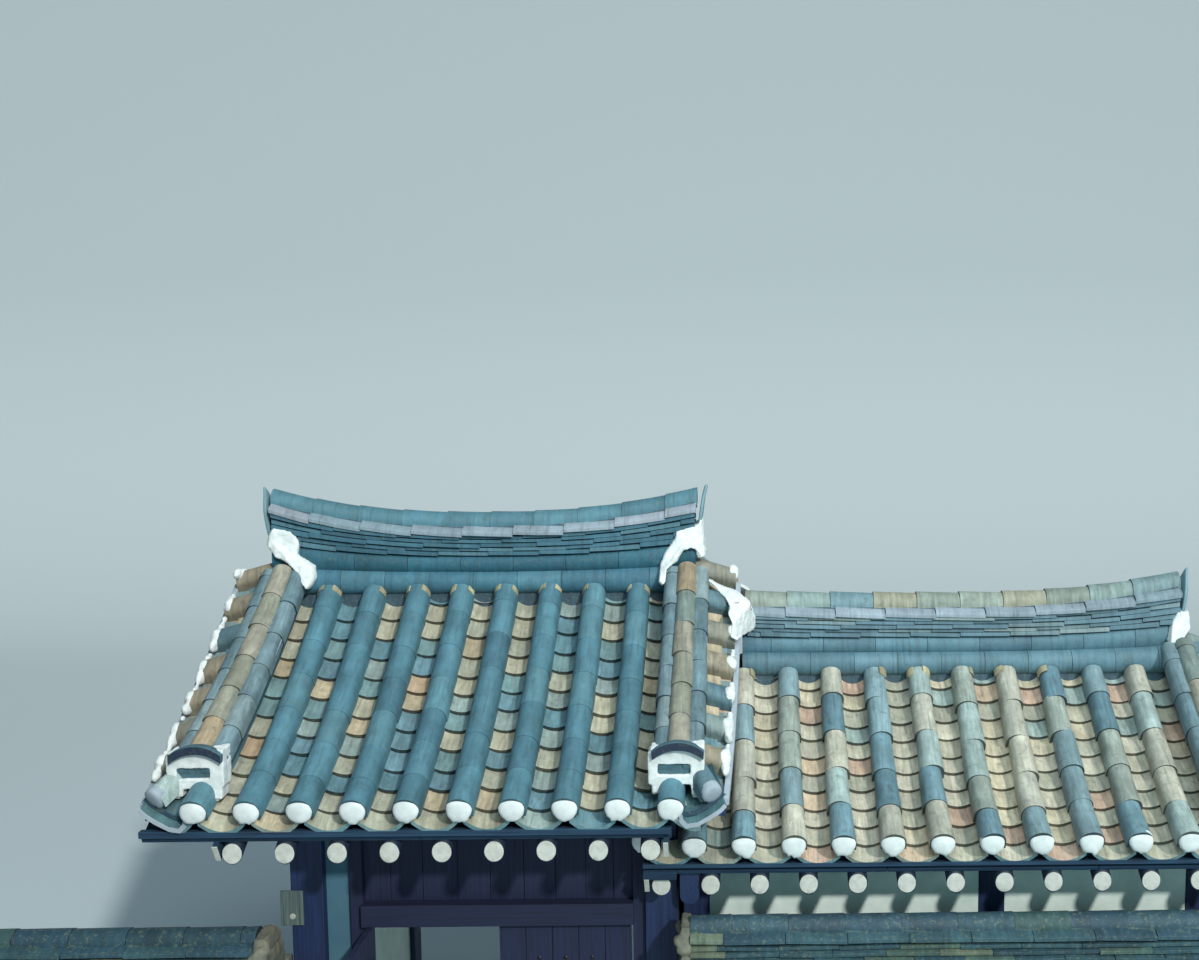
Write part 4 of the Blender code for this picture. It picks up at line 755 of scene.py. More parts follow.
tongues = {
    "gateRidgePlasterLeft": [(-0.085, 0.12, 4.324), (0.049, 0.12, 4.288), (0.094, 0.13, 4.198), (0.089, 0.15, 4.119),
                             (0.202, 0.18, 4.043), (0.218, 0.24, 3.962), (0.189, 0.28, 3.896), (0.145, 0.26, 3.943),
                             (0.123, 0.22, 3.982), (0.031, 0.18, 4.066), (-0.064, 0.16, 4.109), (-0.121, 0.14, 4.176),
                             (-0.117, 0.13, 4.250)],
    "gateRidgePlasterRight": [(2.840, 0.10, 4.368), (2.816, 0.12, 4.311), (2.662, 0.13, 4.264), (2.655, 0.14, 4.216),
                              (2.585, 0.15, 4.127), (2.548, 0.18, 4.026), (2.544, 0.26, 3.935), (2.569, 0.28, 3.907),
                              (2.590, 0.27, 3.930), (2.595, 0.22, 4.012), (2.669, 0.18, 4.061), (2.711, 0.16, 4.135),
                              (2.767, 0.16, 4.152), (2.815, 0.15, 4.125), (2.835, 0.15, 4.083), (2.862, 0.13, 4.089),
                              (2.849, 0.11, 4.216)],
    "wingRidgePlasterLeft": [(3.073, 0.27, 3.856), (3.167, 0.27, 3.787), (3.167, 0.20, 3.732), (3.201, 0.18, 3.672),
                             (3.196, 0.20, 3.593), (3.121, 0.36, 3.583), (3.078, 0.56, 3.592), (3.030, 0.58, 3.623),
                             (3.045, 0.50, 3.688), (3.016, 0.45, 3.745), (3.029, 0.38, 3.787), (2.988, 0.29, 3.843)],
    "gateVergePlaster": [(2.870, 0.17, 3.938), (2.960, 0.22, 3.896), (3.075, 0.27, 3.860), (3.100, 0.33, 3.810),
                         (3.040, 0.33, 3.790), (2.998, 0.29, 3.826), (2.955, 0.25, 3.860)],
    "wingRidgePlasterRight": [(6.118, 0.13, 3.690), (6.075, 0.14, 3.603), (6.044, 0.20, 3.475), (6.125, 0.20, 3.451),
                              (6.172, 0.17, 3.532), (6.205, 0.14, 3.559), (6.200, 0.11, 3.683), (6.165, 0.12, 3.672)]}
for seed, (label, outline) in enumerate(tongues.items(), 61):
    middle = sum((Vector(p) for p in outline), Vector()) / len(outline)
    for side, word in ((-1, "Front"), (1, "Back")):
        tongue = Piece()
        tongue.loft([[Vector((middle.x + (x - middle.x) * share, side * (y + out), middle.z + (z - middle.z) * share))
                      for x, y, z in outline] for out, share in ((-0.09, 1.0), (-0.01, 1.0), (0.012, 0.93))], white)
        fuse(label + word, tongue, capPlaster, "plaster", 0.008, 0.006, seed=seed)
print("plaster tongues set")

# Rafters, boards and timber frame

timber = {"rafterRadius": 0.0625, "rafterDrop": 0.261, "rafterOut": 0.04, "boardHold": 0.01, "boardThick": 0.03,
          "eaveBoard": 0.05, "sideBoard": 0.028, "sideDepth": 0.11, "sideLength": 0.60, "sideGap": 0.012,
          "stubReach": 0.205, "joint": 0.0015}


def log(piece, start, end, radius, draw, sides=20, wobble=0.02, plumb=False):
    # A hewn round timber, slightly uneven; its start may be cut plumb
    axis = (end - start).normalized()
    u = axis.cross(Vector((0, 0, 1)) if abs(axis.z) < 0.9 else Vector((1, 0, 0))).normalized()
    v = axis.cross(u)
    phase, length = draw.uniform(0, 6), (end - start).length
    rings = []
    stations = [0.0, 0.003 / length] + [k / 6 for k in range(1, 6)] + [1 - 0.003 / length, 1.0]
    for k, share in enumerate(stations):
        r = radius * (0.93 if plumb and k < 2 else 1.0) * (0.97 if share in (0.0, 1.0) else 1.0)
        ring = [start + axis * length * share + (u * math.cos(a) + v * math.sin(a)) * r *
                (1 + wobble * math.sin(2 * a + phase + 3 * share)) for a in turns(sides)]
        if plumb and k < 2:
            level = start.y + axis.y * length * share
            ring = [point + axis * (level - point.y) / axis.y for point in ring]
        rings.append(ring)
    piece.loft(rings)


def layRafters(label, roof, side, places, left, right, seed, replaces, stub=None):
    # Rafters with a painted end, roof boards over them, the eave board and a thin board beside the outer rafters
    draw = random.Random(seed)
    tilt = math.atan(roof["rise"] / roof["run"])
    logs, boards, paint = Piece(), Piece(), Piece()
    out, radius = timber["rafterOut"], timber["rafterRadius"]
    low = radius - timber["boardHold"]
    high = low + timber["boardThick"]

    def axis(run, lift=0.0, x=0.0):  # rafter centre line, straight from the eave to the ridge
        z = roof["eave"] - timber["rafterDrop"] + (run - out) * roof["rise"] / roof["run"]
        return Vector((x, side * (roof["half"] - run + lift * math.sin(tilt)), z + lift * math.cos(tilt)))

    def board(piece, xs, runs, top, under, tone=darkTone):
        piece.slab(*([[axis(run, lift, x) for x in xs] for run in runs] for lift in (top, under)), tone)

    ends = [(x, roof["half"] - 0.004 - radius * math.sin(tilt)) for x in places]
    if stub:
        ends.append((min(places) - 0.30, stub))
    for x, stop in ends:
        start = axis(out, x=x)
        log(logs, start, axis(stop, x=x), radius, draw, plumb=True)
        paint.loft([[start + Vector((0, side, 0)) * (depth + 0.001) + Vector((math.cos(a), 0, 1.08 * math.sin(a))) *
                     (r * 0.89 + draw.uniform(-0.0012, 0.0008)) for a in turns(20)]
                    for depth, r in ((-0.012, 0.0630), (0.0, 0.0635), (0.0022, 0.061), (0.003, 0.03))], white)
    eaveRight = 2.70 if roof is gateRoof and side < 0 else right  # the wing's corner shows past it
    x, joint = left, timber["joint"]
    while x < right - 0.02:  # boards laid across the rafters, along the eave, in long planks
        x1 = min(x + draw.uniform(1.2, 1.8), right)
        if x < eaveRight < x1:
            x1 = eaveRight
        run = out + (0.035 if x < eaveRight else 0.32)
        while run < roof["half"] - 0.06:
            nextRun = min(run + 0.165, roof["half"] - 0.03)
            tip = draw.uniform(0.0, 0.003)
            board(boards, (x + joint, x1 - joint), (run + joint, nextRun - joint), high, low + tip,
                  shade(darkTone, draw.uniform(0.8, 1.3)))
            run = nextRun
        x = x1
    reach = timber["stubReach"] if stub else 0.0
    if stub:
        board(boards, (left - reach, left), (out, stub), high, low)
    boardTop = axis(0.0).z + high / math.cos(tilt) + (0.034 if roof is gateRoof else 0.048)
    y0, y1 = sorted((side * roof["half"], side * (roof["half"] - timber["eaveBoard"])))
    boards.block((left - reach, y0 + 0.004, boardTop), (eaveRight, y1, roof["eave"] - 0.1153))
    for k, x in enumerate((max(places), min(x for x, _ in ends))):
        gap, thick = radius + timber["sideGap"], timber["sideBoard"]
        x0 = x - gap - thick if k else x + gap
        if x0 + thick > right:
            continue
        length = stub if (stub and k) else timber["sideLength"] * math.cos(tilt)
        for piece, r0, r1, grow, tone in ((boards, out, length, 0.0, darkTone),
                                          (paint, out - 0.003, out + 0.004, 0.0008, white)):
            board(piece, (x0 - grow, x0 + thick + grow), (r0, r1), low + 0.008, low - timber["sideDepth"], tone)
    logs.make(label + "Logs", rafterPine, "dark_wood", replaces=replaces, sharp=45)
    boards.make(label + "Boards", eavePine, "dark_wood", bevel=0.002)
    paint.make(label + "EndPaint", endPaint, "plaster", bevel=0.001)


gatePlaces = [0.178 + 0.30 * k for k in range(9)]
wingPlaces = [2.91 + 0.30 * k for k in range(12)]
layRafters("gateRaftersFront", gateRoof, -1, gatePlaces, -0.336, 3.036, 71, ("gate_rafters_front",))
layRafters("gateRaftersBack", gateRoof, 1, gatePlaces, -0.336, 3.036, 72, ("gate_rafters_back",))
layRafters("wingRaftersFront", wingRoof, -1, wingPlaces, 2.705, 6.436, 73, ("wing_rafters_front",), 0.15)
layRafters("wingRaftersBack", wingRoof, 1, wingPlaces, 2.705, 6.436, 74, ("wing_rafters_back",))
print("rafters and boards laid")

gateFrame = {"posts": (0.41, 2.60), "post": 0.20, "postY": 1.10, "foot": 0.1803, "plateZ": (2.6379, 2.7579),
             "plateHalf": 0.045, "purlinZ": 2.8419, "purlin": 0.09, "beamZ": (2.3999, 2.5999), "beamHalf": 0.08,
             "reach": 0.9997, "kings": (0.425, 2.585), "purlinX": (-0.336, 3.036), "ridgeRight": 2.70}
wingFrame = {"posts": (2.8053, 4.7203, 6.0703), "post": 0.17, "postY": 0.765, "foot": 0.2503,
             "plateZ": (2.1206, 2.3566), "plateHalf": 0.06, "purlinZ": 2.4306, "purlin": 0.08,
             "beamZ": (2.1503, 2.3563), "beamHalf": 0.065, "reach": 0.7047, "kings": (2.8053, 4.7203, 6.0447),
             "purlinX": (2.705, 6.436), "ridgeRight": 6.436}


def raiseFrame(label, sizes, seed):
    # Posts under a wall plate with its purlin on both sides, tie beams, king posts and the ridge purlin
    draw = random.Random(seed)
    half, king = sizes["post"] / 2, 0.055
    left, right = sizes["purlinX"]
    plate, ridge = sizes["plateZ"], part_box(label + "_ridge_frame")[1].z - sizes["purlin"]
    for side, word in ((-1, "Front"), (1, "Back")):
        posts, plates = Piece(), Piece()
        y = side * sizes["postY"]
        for x in sizes["posts"]:
            posts.block((x - half, y - half, sizes["foot"]), (x + half, y + half, plate[0] + 0.004))
        plates.block((sizes["posts"][0] - half - 0.0004, y - sizes["plateHalf"], plate[0]),
                     (sizes["posts"][-1] + half + 0.0004, y + sizes["plateHalf"], plate[1]))
        log(plates, Vector((left, y, sizes["purlinZ"])), Vector((right, y, sizes["purlinZ"])), sizes["purlin"], draw,
            28, 0.008)
        posts.make(label + "Posts" + word, woodZ, "dark_wood", bevel=0.006,
                   replaces=(label + "_frame_" + word.lower(),))
        plates.make(label + "Plate" + word, woodX, "dark_wood", bevel=0.004, sharp=45)
    beams, ridgeBeam, kings = Piece(), Piece(), Piece()
    log(ridgeBeam, Vector((left, 0, ridge)), Vector((sizes["ridgeRight"], 0, ridge)), sizes["purlin"], draw, 28, 0.008)
    for x in sizes["posts"]:
        beams.block((x - sizes["beamHalf"], -sizes["reach"], sizes["beamZ"][0]),
                    (x + sizes["beamHalf"], sizes["reach"], sizes["beamZ"][1]))
    for x in sizes["kings"]:
        kings.block((x - king, -king, sizes["beamZ"][1] - 0.003), (x + king, king, ridge - sizes["purlin"] + 0.004))
    beams.make(label + "TieBeams", woodY, "dark_wood", bevel=0.008, replaces=(label + "_ridge_frame",))
    ridgeBeam.make(label + "RidgeBeam", woodX, "dark_wood", sharp=45)
    kings.make(label + "KingPosts", woodZ, "dark_wood", bevel=0.004)


raiseFrame("gate", gateFrame, 81)
raiseFrame("wing", wingFrame, 82)
beamHead = Piece()
outline = [(2.72, 2.32), (2.84, 2.32)] + [(2.78 + 0.06 * math.cos(a), 2.172 - 0.06 * math.sin(a))
                                          for a in arc(0, 180, 10)]
beamHead.loft([[Vector((x, y, z)) for x, z in outline] for y in (-1.30, -0.8503)])
beamHead.make("wingBeamHead", woodY, "dark_wood", replaces=("wing_beam_head",), bevel=0.004)
print("timber frame raised")

# Gateway

gateway = {"front": -1.20, "threshold": (0.5303, 2.4797, 0.19), "lintel": (0.7346, 2.4257, 1.94, 2.08),
           "jambs": ((0.6606, 0.7406), (2.4197, 2.4997)), "foot": 0.1903, "head": 2.6376}
threshold, lintel, jambs, transom = Piece(), Piece(), Piece(), Piece()
left, right, top = gateway["threshold"]
threshold.block((left, gateway["front"], 0.0), (right, -1.02, top))
threshold.make("gateThreshold", woodX, "dark_wood", replaces=("gate_threshold",), bevel=0.01)
left, right, bottom, top = gateway["lintel"]
lintel.block((left, gateway["front"], bottom), (right, -1.04, top))
lintel.make("gateLintel", headPine, "dark_wood", replaces=("gate_door_frame",), bevel=0.006)
for left, right in gateway["jambs"]:
    jambs.block((left, -1.16, gateway["foot"]), (right, -1.04, gateway["head"]))
jambs.make("gateJambs", doorPine, "dark_wood", bevel=0.005)
draw = random.Random(91)
x, right = gateway["jambs"][0][1] + 0.0003, gateway["jambs"][1][0] - 0.0003
while x < 2.40:
    x1 = min(x + draw.uniform(0.16, 0.22), right)
    if right - x1 < 0.08:
        x1 = right
    transom.block((x + 0.001, -1.12 + draw.uniform(0.0, 0.004), 2.0803), (x1 - 0.001, -1.08, gateway["head"]))
    x = x1
transom.block((0.742, -1.105, 2.09), (2.4184, -1.09, 2.63))  # closes the joints between the planks
transom.make("gateTransomPlanks", doorPine, "door_wood", replaces=("gate_transom",), bevel=0.003)

leafShape = {"length": 0.79853, "heel": 0.025, "half": 0.02, "bottom": 0.196, "top": 1.934, "planks": 5,
             "ledges": 4, "ledgeHalf": 0.035, "ledgeBack": 0.05, "ledgeInset": 0.08, "pivot": 0.0178}


def hangLeaf(label, body, hinge, toward, turn, seed):
    # A leaf of planks nailed to ledges, with a round pivot at both ends of its heel
    draw = random.Random(seed)
    planks, ledges, nails = Piece(), Piece(), Piece()
    swing, at = Matrix.Rotation(turn, 3, "Z"), Vector((*hinge, 0.0))
    heel, length, half = leafShape["heel"], leafShape["length"], leafShape["half"]
    bottom, top, count = leafShape["bottom"], leafShape["top"], leafShape["planks"]
    width, inset = (length + heel) / count, leafShape["ledgeInset"]

    def swung(point):
        return at + swing @ Vector(point)

    def block(piece, x0, x1, y0, y1, z0, z1):
        x0, x1 = sorted((toward * x0, toward * x1))
        piece.block((x0, y0, z0), (x1, y1, z1), turn=swung)

    for k in range(count):
        x0 = k * width - heel
        block(planks, x0 + 0.0012, x0 + width - 0.0012, draw.uniform(0.0, 0.003) - half, half, bottom, top)
    block(planks, -heel, length, -0.008, 0.012, bottom + 0.01, top - 0.01)  # closes the joints, as rebates do
    for z in (bottom, top):
        log(planks, at + Vector((0, 0, z - 0.04)), at + Vector((0, 0, z + 0.04)), leafShape["pivot"], draw, 18, 0.0)
    for k in range(leafShape["ledges"]):
        z = bottom + (top - bottom) * (k + 0.5) / leafShape["ledges"]
        block(ledges, inset, length - inset, half - 0.0005, leafShape["ledgeBack"], z - leafShape["ledgeHalf"],
              z + leafShape["ledgeHalf"])
        for x in ((j + 0.5) * width - heel for j in range(count)):
            if 0.09 < x < length - 0.09:
                nails.loft([[swung((toward * x + r * math.cos(a), -0.0175 - out, z + r * math.sin(a)))
                             for a in turns(12)] for out, r in ((-0.001, 0.0135), (0.003, 0.013), (0.0065, 0.009),
                                                                (0.008, 0.003))])
    planks.make(label + "Planks", doorPine, "door_wood", body, (label.replace("Leaf", "_door_leaf"),), 0.003)
    ledges.make(label + "Ledges", woodX, "door_wood", body, (), 0.004)
    nails.make(label + "Nails", iron, "dark_wood", body)


hangLeaf("leftLeaf", "left_leaf", (0.7786156, -1.14), 1, -math.pi / 2, 92)
hangLeaf("rightLeaf", "right_leaf", (2.3816844, -1.14), -1, 0.0, 93)

bell, button = Piece(), Piece()
bell.block((0.25, -1.2203, 1.97), (0.39, -1.2003, 2.19))
bell.make("bellPlate", paleWood, "light_wood", replaces=("bell_plate",), bevel=0.004)
for inner, outer, out in ((0.012, 0.018, 0.006), (0.001, 0.010, 0.004)):  # a ring around a round push
    profile = ((outer, 0.0), (outer, out), (outer - 0.002, out + 0.002), (inner, out + 0.002), (inner, 0.0))
    start, size, count = len(button.verts), len(profile), 20
    button.verts += [Vector((0.325 + r * math.cos(a), -1.2200 - o, 2.03 + r * math.sin(a)))
                     for a in turns(count) for r, o in profile]
    for a, b in ((start + k * size, start + (k + 1) % count * size) for k in range(count)):
        button.faces += [(a + j, a + (j + 1) % size, b + (j + 1) % size, b + j) for j in range(size)]
        button.tones += [white] * size
button.make("bellButton", endPaint, "light_wood")
print("gateway hung")

# Walls

stones = {"course": 0.19, "length": 0.27, "joint": 0.012, "mortar": "#8d9186",
          "tones": {"#84826f": 5, "#777766": 4, "#918b76": 3, "#696d63": 3, "#8f8468": 1}}


def masonry(label, low, high, seed, replaces, course=stones["course"], length=stones["length"]):
    # Squared granite blocks in courses with lime mortar between them
    draw = random.Random(seed)
    blocks, mortar = Piece(), Piece()
    low, high = Vector(low), Vector(high)
    mortar.block(low + Vector((0.012, 0.012, 0.0)), high - Vector((0.012, 0.012, 0.003)), linear(stones["mortar"]))
    levels = max(1, round((high.z - low.z) / course))
    rise, joint = (high.z - low.z) / levels, stones["joint"] / 2
    deep = min(0.12, (high.y - low.y) * 0.42)
    for level in range(levels):
        z0 = low.z + level * rise + joint * (level > 0)
        z1 = low.z + (level + 1) * rise - joint * (level + 1 < levels)
        front, back = (deep * draw.uniform(0.55, 1.0) for _ in range(2))  # so that no joint runs through at the ends
        sides = [(0, low.x, high.x, low.y, low.y + front), (0, low.x, high.x, high.y - back, high.y),
                 (1, low.y + front, high.y - back, low.x, low.x + 0.1),
                 (1, low.y + front, high.y - back, high.x - 0.1, high.x)]
        for across, a, end, near, far in sides:
            first = draw.uniform(0.4, 1.0)
            while a < end - 0.005:
                b = a + length * first * draw.uniform(0.82, 1.18)
                first = 1.0
                if end - b < length * 0.35:
                    b = end
                sunk = draw.uniform(0.0, 0.008)
                d0, d1 = (near + sunk, far) if near == (low.x if across else low.y) else (near, far - sunk)
                corners = ((a + joint, d0, z0), (b - joint, d1, z1))
                if across:
                    corners = ((d0, a + joint, z0), (d1, b - joint, z1))
                blocks.block(*corners, pick(draw, stones["tones"]))
                a = b
    blocks.make(label + "Blocks", granite, "stone", replaces=replaces, bevel=0.009)
    mortar.make(label + "Mortar", mortarLime, "stone")


masonry("rightWallEnd", (2.7203, -1.625, 0.0), (2.9603, -1.12, 1.80), 101, ("right_wall_end",), 0.13, 0.15)
masonry("rightWall", (2.9606, -1.625, 0.0), (6.5003, -1.275, 1.80), 102, ("right_wall",))
masonry("leftWallEnd", (0.0497, -1.625, 0.0), (0.2897, -1.12, 1.75), 103, ("left_wall_end",), 0.13, 0.15)
masonry("leftWall", (-1.50, -1.625, 0.0), (0.0494, -1.275, 1.75), 104, ("left_wall",))
masonry("wingPlinth", (2.7203, -0.87, 0.0), (6.1753, 0.87, 0.25), 105, ("wing_plinth",), 0.25, 0.55)
masonry("gateFootingLeft", (0.29, -1.22, 0.0), (0.53, 1.22, 0.18), 106, ("gate_footing_left",), 0.18, 0.45)
masonry("gateFootingRight", (2.48, -1.22, 0.0), (2.72, 1.22, 0.18), 107, ("gate_footing_right",), 0.18, 0.45)

# The coping's tones are darkened to dark teal: painted shade from the eaves above, for the courses, ledge and top row
# alike
coping = {"half": 0.28, "y": -1.45, "courses": 6, "tones": {"#27434b": 4, "#203b45": 4, "#3c5049": 2, "#5a6252": 1},
          "ledgeTones": {"#2b474f": 4, "#616c5c": 2, "#274350": 3},
          "topTones": {"#203d48": 4, "#2a4646": 3, "#1d3845": 3, "#4a5c53": 1}}
for label, x0, x1, base, top, seed in (("rightWallEndTop", 2.715, 2.80, 1.795, 2.06, 108),
                                       ("leftWallEndTop", 0.19, 0.285, 1.745, 2.01, 109)):
    smear, draw = Piece(), random.Random(seed)  # rubble and mortar that close the coping's end
    for k in range(9):
        half, z = 0.25 - 0.14 * k / 8, base + (top - base) * k / 8
        smear.block((x0 + draw.uniform(0.0, 0.02), coping["y"] - half * draw.uniform(0.9, 1.05), z - 0.03),
                    (x1 - draw.uniform(0.0, 0.02), coping["y"] + half * draw.uniform(0.9, 1.05), z + 0.02), white)
    for k in range(8):
        share = draw.uniform(0.0, 0.9)
        spot = Vector((draw.uniform(x0 + 0.02, x1 - 0.02), coping["y"] - (0.22 - 0.12 * share) * draw.choice((-1, 1)),
                       base + (top - base) * share))
        lump(smear, spot, (0.05, 0.05, 0.04), draw)
    fuse(label, smear, endStone, "stone", 0.010, 0.008, seed=seed)
print("stone walls laid")


def layCoping(label, left, right, base, seed, replaces):
    # Courses of flat tile stepping in on both sides, a pale ledge and a half-round row on top
    draw = random.Random(seed)
    rows, flats, bed = Piece(), Piece(), Piece()

    def put(across, up, x):
        return Vector((x, coping["y"] + across, base + 0.0003 + up))

    half = [(0.255, 0.0), (0.255, 0.01), (0.10, 0.16), (0.075, 0.25)]
    outline = [(-a, u) for a, u in half] + half[::-1]
    # the coping's bed is dark: painted shade
    bed.loft([[put(a, u, x) for a, u in outline] for x in (left + 0.004, right - 0.004)], linear("#31474a"))
    for side in (-1, 1):
        for course in range(coping["courses"]):
            low, reach = 0.025 + course * 0.0312, coping["half"] - course * 0.0265
            for x0, x1 in spans(left, right, 0.33 * draw.uniform(0.9, 1.1), draw.uniform(0.08, 0.3)):
                edge, tip = reach + draw.uniform(-0.012, 0.0), draw.uniform(-0.004, 0.005)
                flats.flat(lambda a, u, x: put(side * a, low + u, x), ((0.05, 0.010), (edge * 0.75, 0.004),
                                                                       (edge, -0.003)), 0.021,
                           ((x0 + 0.001, tip), (x1 - 0.001, -tip)), pick(draw, coping["tones"]))
        for x0, x1 in spans(left, right, 0.37, 0.2):
            edge, tip = 0.142 + draw.uniform(-0.006, 0.005), draw.uniform(-0.003, 0.003)
            flats.flat(lambda a, u, x: put(side * a, u, x), ((0.03, 0.244), (0.10, 0.238), (edge, 0.220)), 0.024,
                       ((x0 + 0.0015, tip), (x1 - 0.0015, -tip)), pick(draw, coping["ledgeTones"]))
    for x0, x1 in spans(left, right, 0.34, 0.25):
        coverTile(rows, lambda across, up, x: put(across, 0.240 + up, x), 0.0, x1 - 0.001, x0 + 0.001,
                  pick(draw, coping["topTones"]), 0.080, 0.0, 2, 0.004)
    rows.make(label + "TopRow", oldClay, "roof_tile", replaces=replaces, sharp=50)
    flats.make(label + "Courses", oldClay, "roof_tile", bevel=0.002)
    bed.make(label + "Bed", oldClay, "roof_tile")


layCoping("rightCoping", 2.79, 6.5003, 1.790, 111, ("right_wall_coping",))
layCoping("leftCoping", -1.50, 0.20, 1.745, 112, ("left_wall_coping",))
print("copings laid")

# Plaster panels of the wing, over the wall plate up to the rafters

panel = {"face": 0.8455, "top": 2.612, "wave": 0.003}
doorway = {"left": 3.1606, "right": 4.36, "bottom": 0.2506, "top": 1.9503, "y": 0.765, "trim": 0.07, "stile": 0.06,
           "rail": (0.68, 0.74), "bands": (0.86, 1.29, 1.72), "bandStep": 0.045}
doorLeft, doorRight, doorBottom, doorTop = (doorway[word] for word in ("left", "right", "bottom", "top"))
for name, side, seed in (("wing_front_wall_left", -1, 121), ("wing_front_wall_right", -1, 122),
                         ("wing_back_wall_left", 1, 123), ("wing_back_wall_right", 1, 124)):
    low, high = (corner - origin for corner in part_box(name))
    parts = [(low.x, high.x, low.z)]
    if name == "wing_back_wall_left":  # this one has the back door in it
        parts = [(low.x, doorLeft, low.z), (doorLeft, doorRight, doorTop), (doorRight, high.x, low.z)]
    wall = Piece()
    for left, right, bottom in parts:
        front, back = [], []
        for z in (bottom + (panel["top"] - bottom) * i / 12 for i in range(13)):
            xs = [left + (right - left) * k / 24 for k in range(25)]
            bends = [noise.noise(Vector((x * 1.7, z * 1.7, seed))) + 0.3 * noise.noise(Vector((x * 7, z * 7, seed)))
                     for x in xs]
            front.append([Vector((x, side * (panel["face"] - 0.002 + panel["wave"] * bend), z))
                          for x, bend in zip(xs, bends)])
            back.append([Vector((x, side * min(side * low.y, side * high.y), z)) for x in xs])
        wall.slab(front, back, white)
    wall.make("wing" + name.title().replace("_", "")[4:], wallPlaster, "plaster", replaces=(name,))

# Back door of the wing

surround, stiles, bars, sheets = Piece(), Piece(), Piece(), Piece()
trim = doorway["trim"]
for x0, x1, z0, z1 in ((doorLeft - trim, doorLeft, doorBottom, doorTop),
                       (doorRight, doorRight + trim, doorBottom, doorTop),
                       (doorLeft - trim - 0.03, doorRight + trim + 0.03, doorTop + 0.0004, doorTop + 0.09)):
    surround.block((x0, 0.79, z0), (x1, 0.864, z1))
surround.make("backDoorSurround", woodZ, "dark_wood", bevel=0.004)
y0, y1 = doorway["y"] - 0.02, doorway["y"] + 0.02
middle, stile, rail = (doorLeft + doorRight) / 2, doorway["stile"], doorway["rail"]
for x0, x1 in ((doorLeft, middle - 0.001), (middle + 0.001, doorRight)):
    in0, in1, tuck0, tuck1 = x0 + stile, x1 - stile, x0 + 0.055, x1 - 0.055  # panels and bars are tucked in
    for left, right, bottom, top in ((x0, in0, doorBottom, doorTop), (in1, x1, doorBottom, doorTop),
                                     (in0, in1, doorBottom, doorBottom + 0.08), (in0, in1, doorTop - stile, doorTop),
                                     (in0, in1, *rail)):
        stiles.block((left, y0, bottom), (right, y1, top))
    stiles.block((tuck0, y0 + 0.012, doorBottom + 0.07), (tuck1, y1 - 0.012, 0.69))
    sheets.block((tuck0, y0 + 0.008, 0.73), (tuck1, y0 + 0.012, doorTop - 0.055))
    for x in (in0 + (x1 - x0 - 2 * stile) * k / 8 for k in range(1, 8)):
        bars.block((x - 0.005, y0 + 0.012, 0.735), (x + 0.005, y1 - 0.004, doorTop - 0.055))
    for z in (band + doorway["bandStep"] * (k - 1.5) for band in doorway["bands"] for k in range(4)):
        bars.block((tuck0, y0 + 0.013, z - 0.005), (tuck1, y1 - 0.006, z + 0.005))
stiles.make("backDoorFrame", paleWood, "light_wood", replaces=("wing_back_door",), bevel=0.003)
bars.make("backDoorLattice", paleWood, "light_wood", bevel=0.001)
sheets.make("backDoorPaper", paper, "light_wood")

# CAD nodes that stay, with their finish

for name in ("gate_gable_left", "gate_gable_right", "gate_side_wall_left", "gate_side_wall_right", "wing_side_wall",
             "wing_gable"):
    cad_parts[name].data.materials[0] = wallPlaster
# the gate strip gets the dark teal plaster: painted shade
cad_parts["gate_front_panel"].data.materials[0] = shadedStripPlaster

# Floor, light and camera


def stand(name, data, spot=Vector(), target=None):  # puts an object in the scene, turned to its target
    made = bpy.data.objects.new(name, data)
    made.location = spot
    if target is not None:
        made.rotation_euler = (target - spot).to_track_quat("-Z", "Y").to_euler()
    bpy.context.scene.collection.objects.link(made)
    return made


floorMesh = bpy.data.meshes.new("studioFloor")
sweep = [(-40.0, 0.0)] + [(14.0 + 7.0 * math.sin(a), 7.0 - 7.0 * math.cos(a)) for a in arc(0, 90, 12)] + [(21.0, 30.0)]
floorMesh.from_pydata([(x, y, z) for y, z in sweep for x in (-50.0, 50.0)], [],
                      [(2 * k, 2 * k + 1, 2 * k + 3, 2 * k + 2) for k in range(len(sweep) - 1)])
floorMesh.shade_smooth()
studioFloor = stand("studioFloor", floorMesh)
floorPaper = finish("pale studio floor", 0.9, lambda tree, at: {})
floorPaper.node_tree.nodes["Principled BSDF"].inputs["Base Color"].default_value = linear("#b9c3c6")
floorMesh.materials.append(floorPaper)

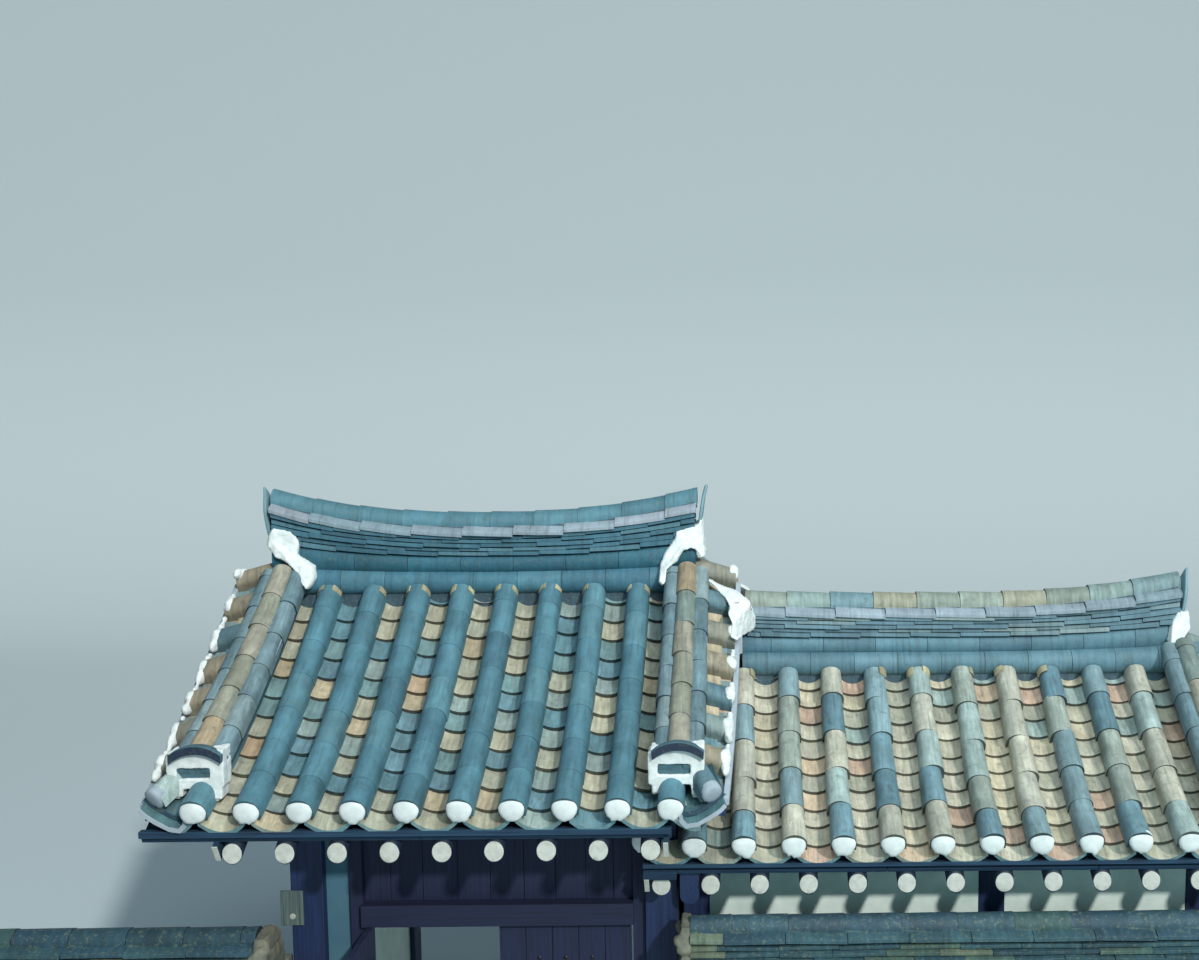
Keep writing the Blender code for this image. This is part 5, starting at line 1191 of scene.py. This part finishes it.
studio = {"worldColour": "#97c0da", "worldStrength": 0.26, "keyColour": "#fdfffa", "keyPower": 2.7, "keyAngle": 3.0,
          "keyFrom": (0.60, -1.00, 0.74),
          "areas": (("topLight", "#dceff4", 900.0, (1.8, -6.0, 11.5), (1.8, 0.0, 2.5), 6.0),
                    ("skyFill", "#b8ecf0", 130.0, (3.4, -7.6, 3.7), (3.4, -0.8, 2.2), 3.2))}
world = bpy.data.worlds.new("soft studio")
bpy.context.scene.world = world
world.use_nodes = True
backdrop = world.node_tree.nodes["Background"].inputs
backdrop["Color"].default_value = linear(studio["worldColour"])
backdrop["Strength"].default_value = studio["worldStrength"]
keyLamp = bpy.data.lights.new("keyLight", "SUN")
keyLamp.energy, keyLamp.angle = studio["keyPower"], math.radians(studio["keyAngle"])
keyLamp.color = linear(studio["keyColour"])[:3]
stand("keyLight", keyLamp, Vector(studio["keyFrom"]) * 12, Vector())
for name, colour, power, spot, target, size in studio["areas"]:
    lamp = bpy.data.lights.new(name, "AREA")
    lamp.energy, lamp.size, lamp.color = power, size, linear(colour)[:3]
    stand(name, lamp, Vector(spot), Vector(target))
bpy.context.scene.view_settings.view_transform = "Standard"

view = {"place": (3.141, -9.383, 5.563), "focal": 1366.45, "width": 1199, "height": 960, "centreX": 763.3,
        "centreY": 480.0, "pitch": 5.876, "yaw": 0.732, "roll": -0.273}  # fitted to the photo, angles in degrees
cameraData = bpy.data.cameras.new("photoCamera")
cameraData.sensor_width = 36.0
cameraData.lens = view["focal"] * 36.0 / view["width"]
cameraData.shift_x = (view["width"] / 2 - view["centreX"]) / view["width"]
cameraData.shift_y = (view["centreY"] - view["height"] / 2) / view["width"]
camera = stand("photoCamera", cameraData)
pitch, yaw, roll = (math.radians(view[word]) for word in ("pitch", "yaw", "roll"))
right = Vector((math.cos(yaw), -math.sin(yaw), 0.0))
forward = Vector((math.sin(yaw) * math.cos(pitch), math.cos(yaw) * math.cos(pitch), -math.sin(pitch)))
above = right.cross(forward)
turned, upward = right * math.cos(roll) + above * math.sin(roll), above * math.cos(roll) - right * math.sin(roll)
camera.matrix_world = Matrix.Translation(Vector(view["place"]) + origin) @ Matrix(
    (turned, upward, -forward)).transposed().to_4x4()
bpy.context.scene.camera = camera
print("floor, light and camera set")
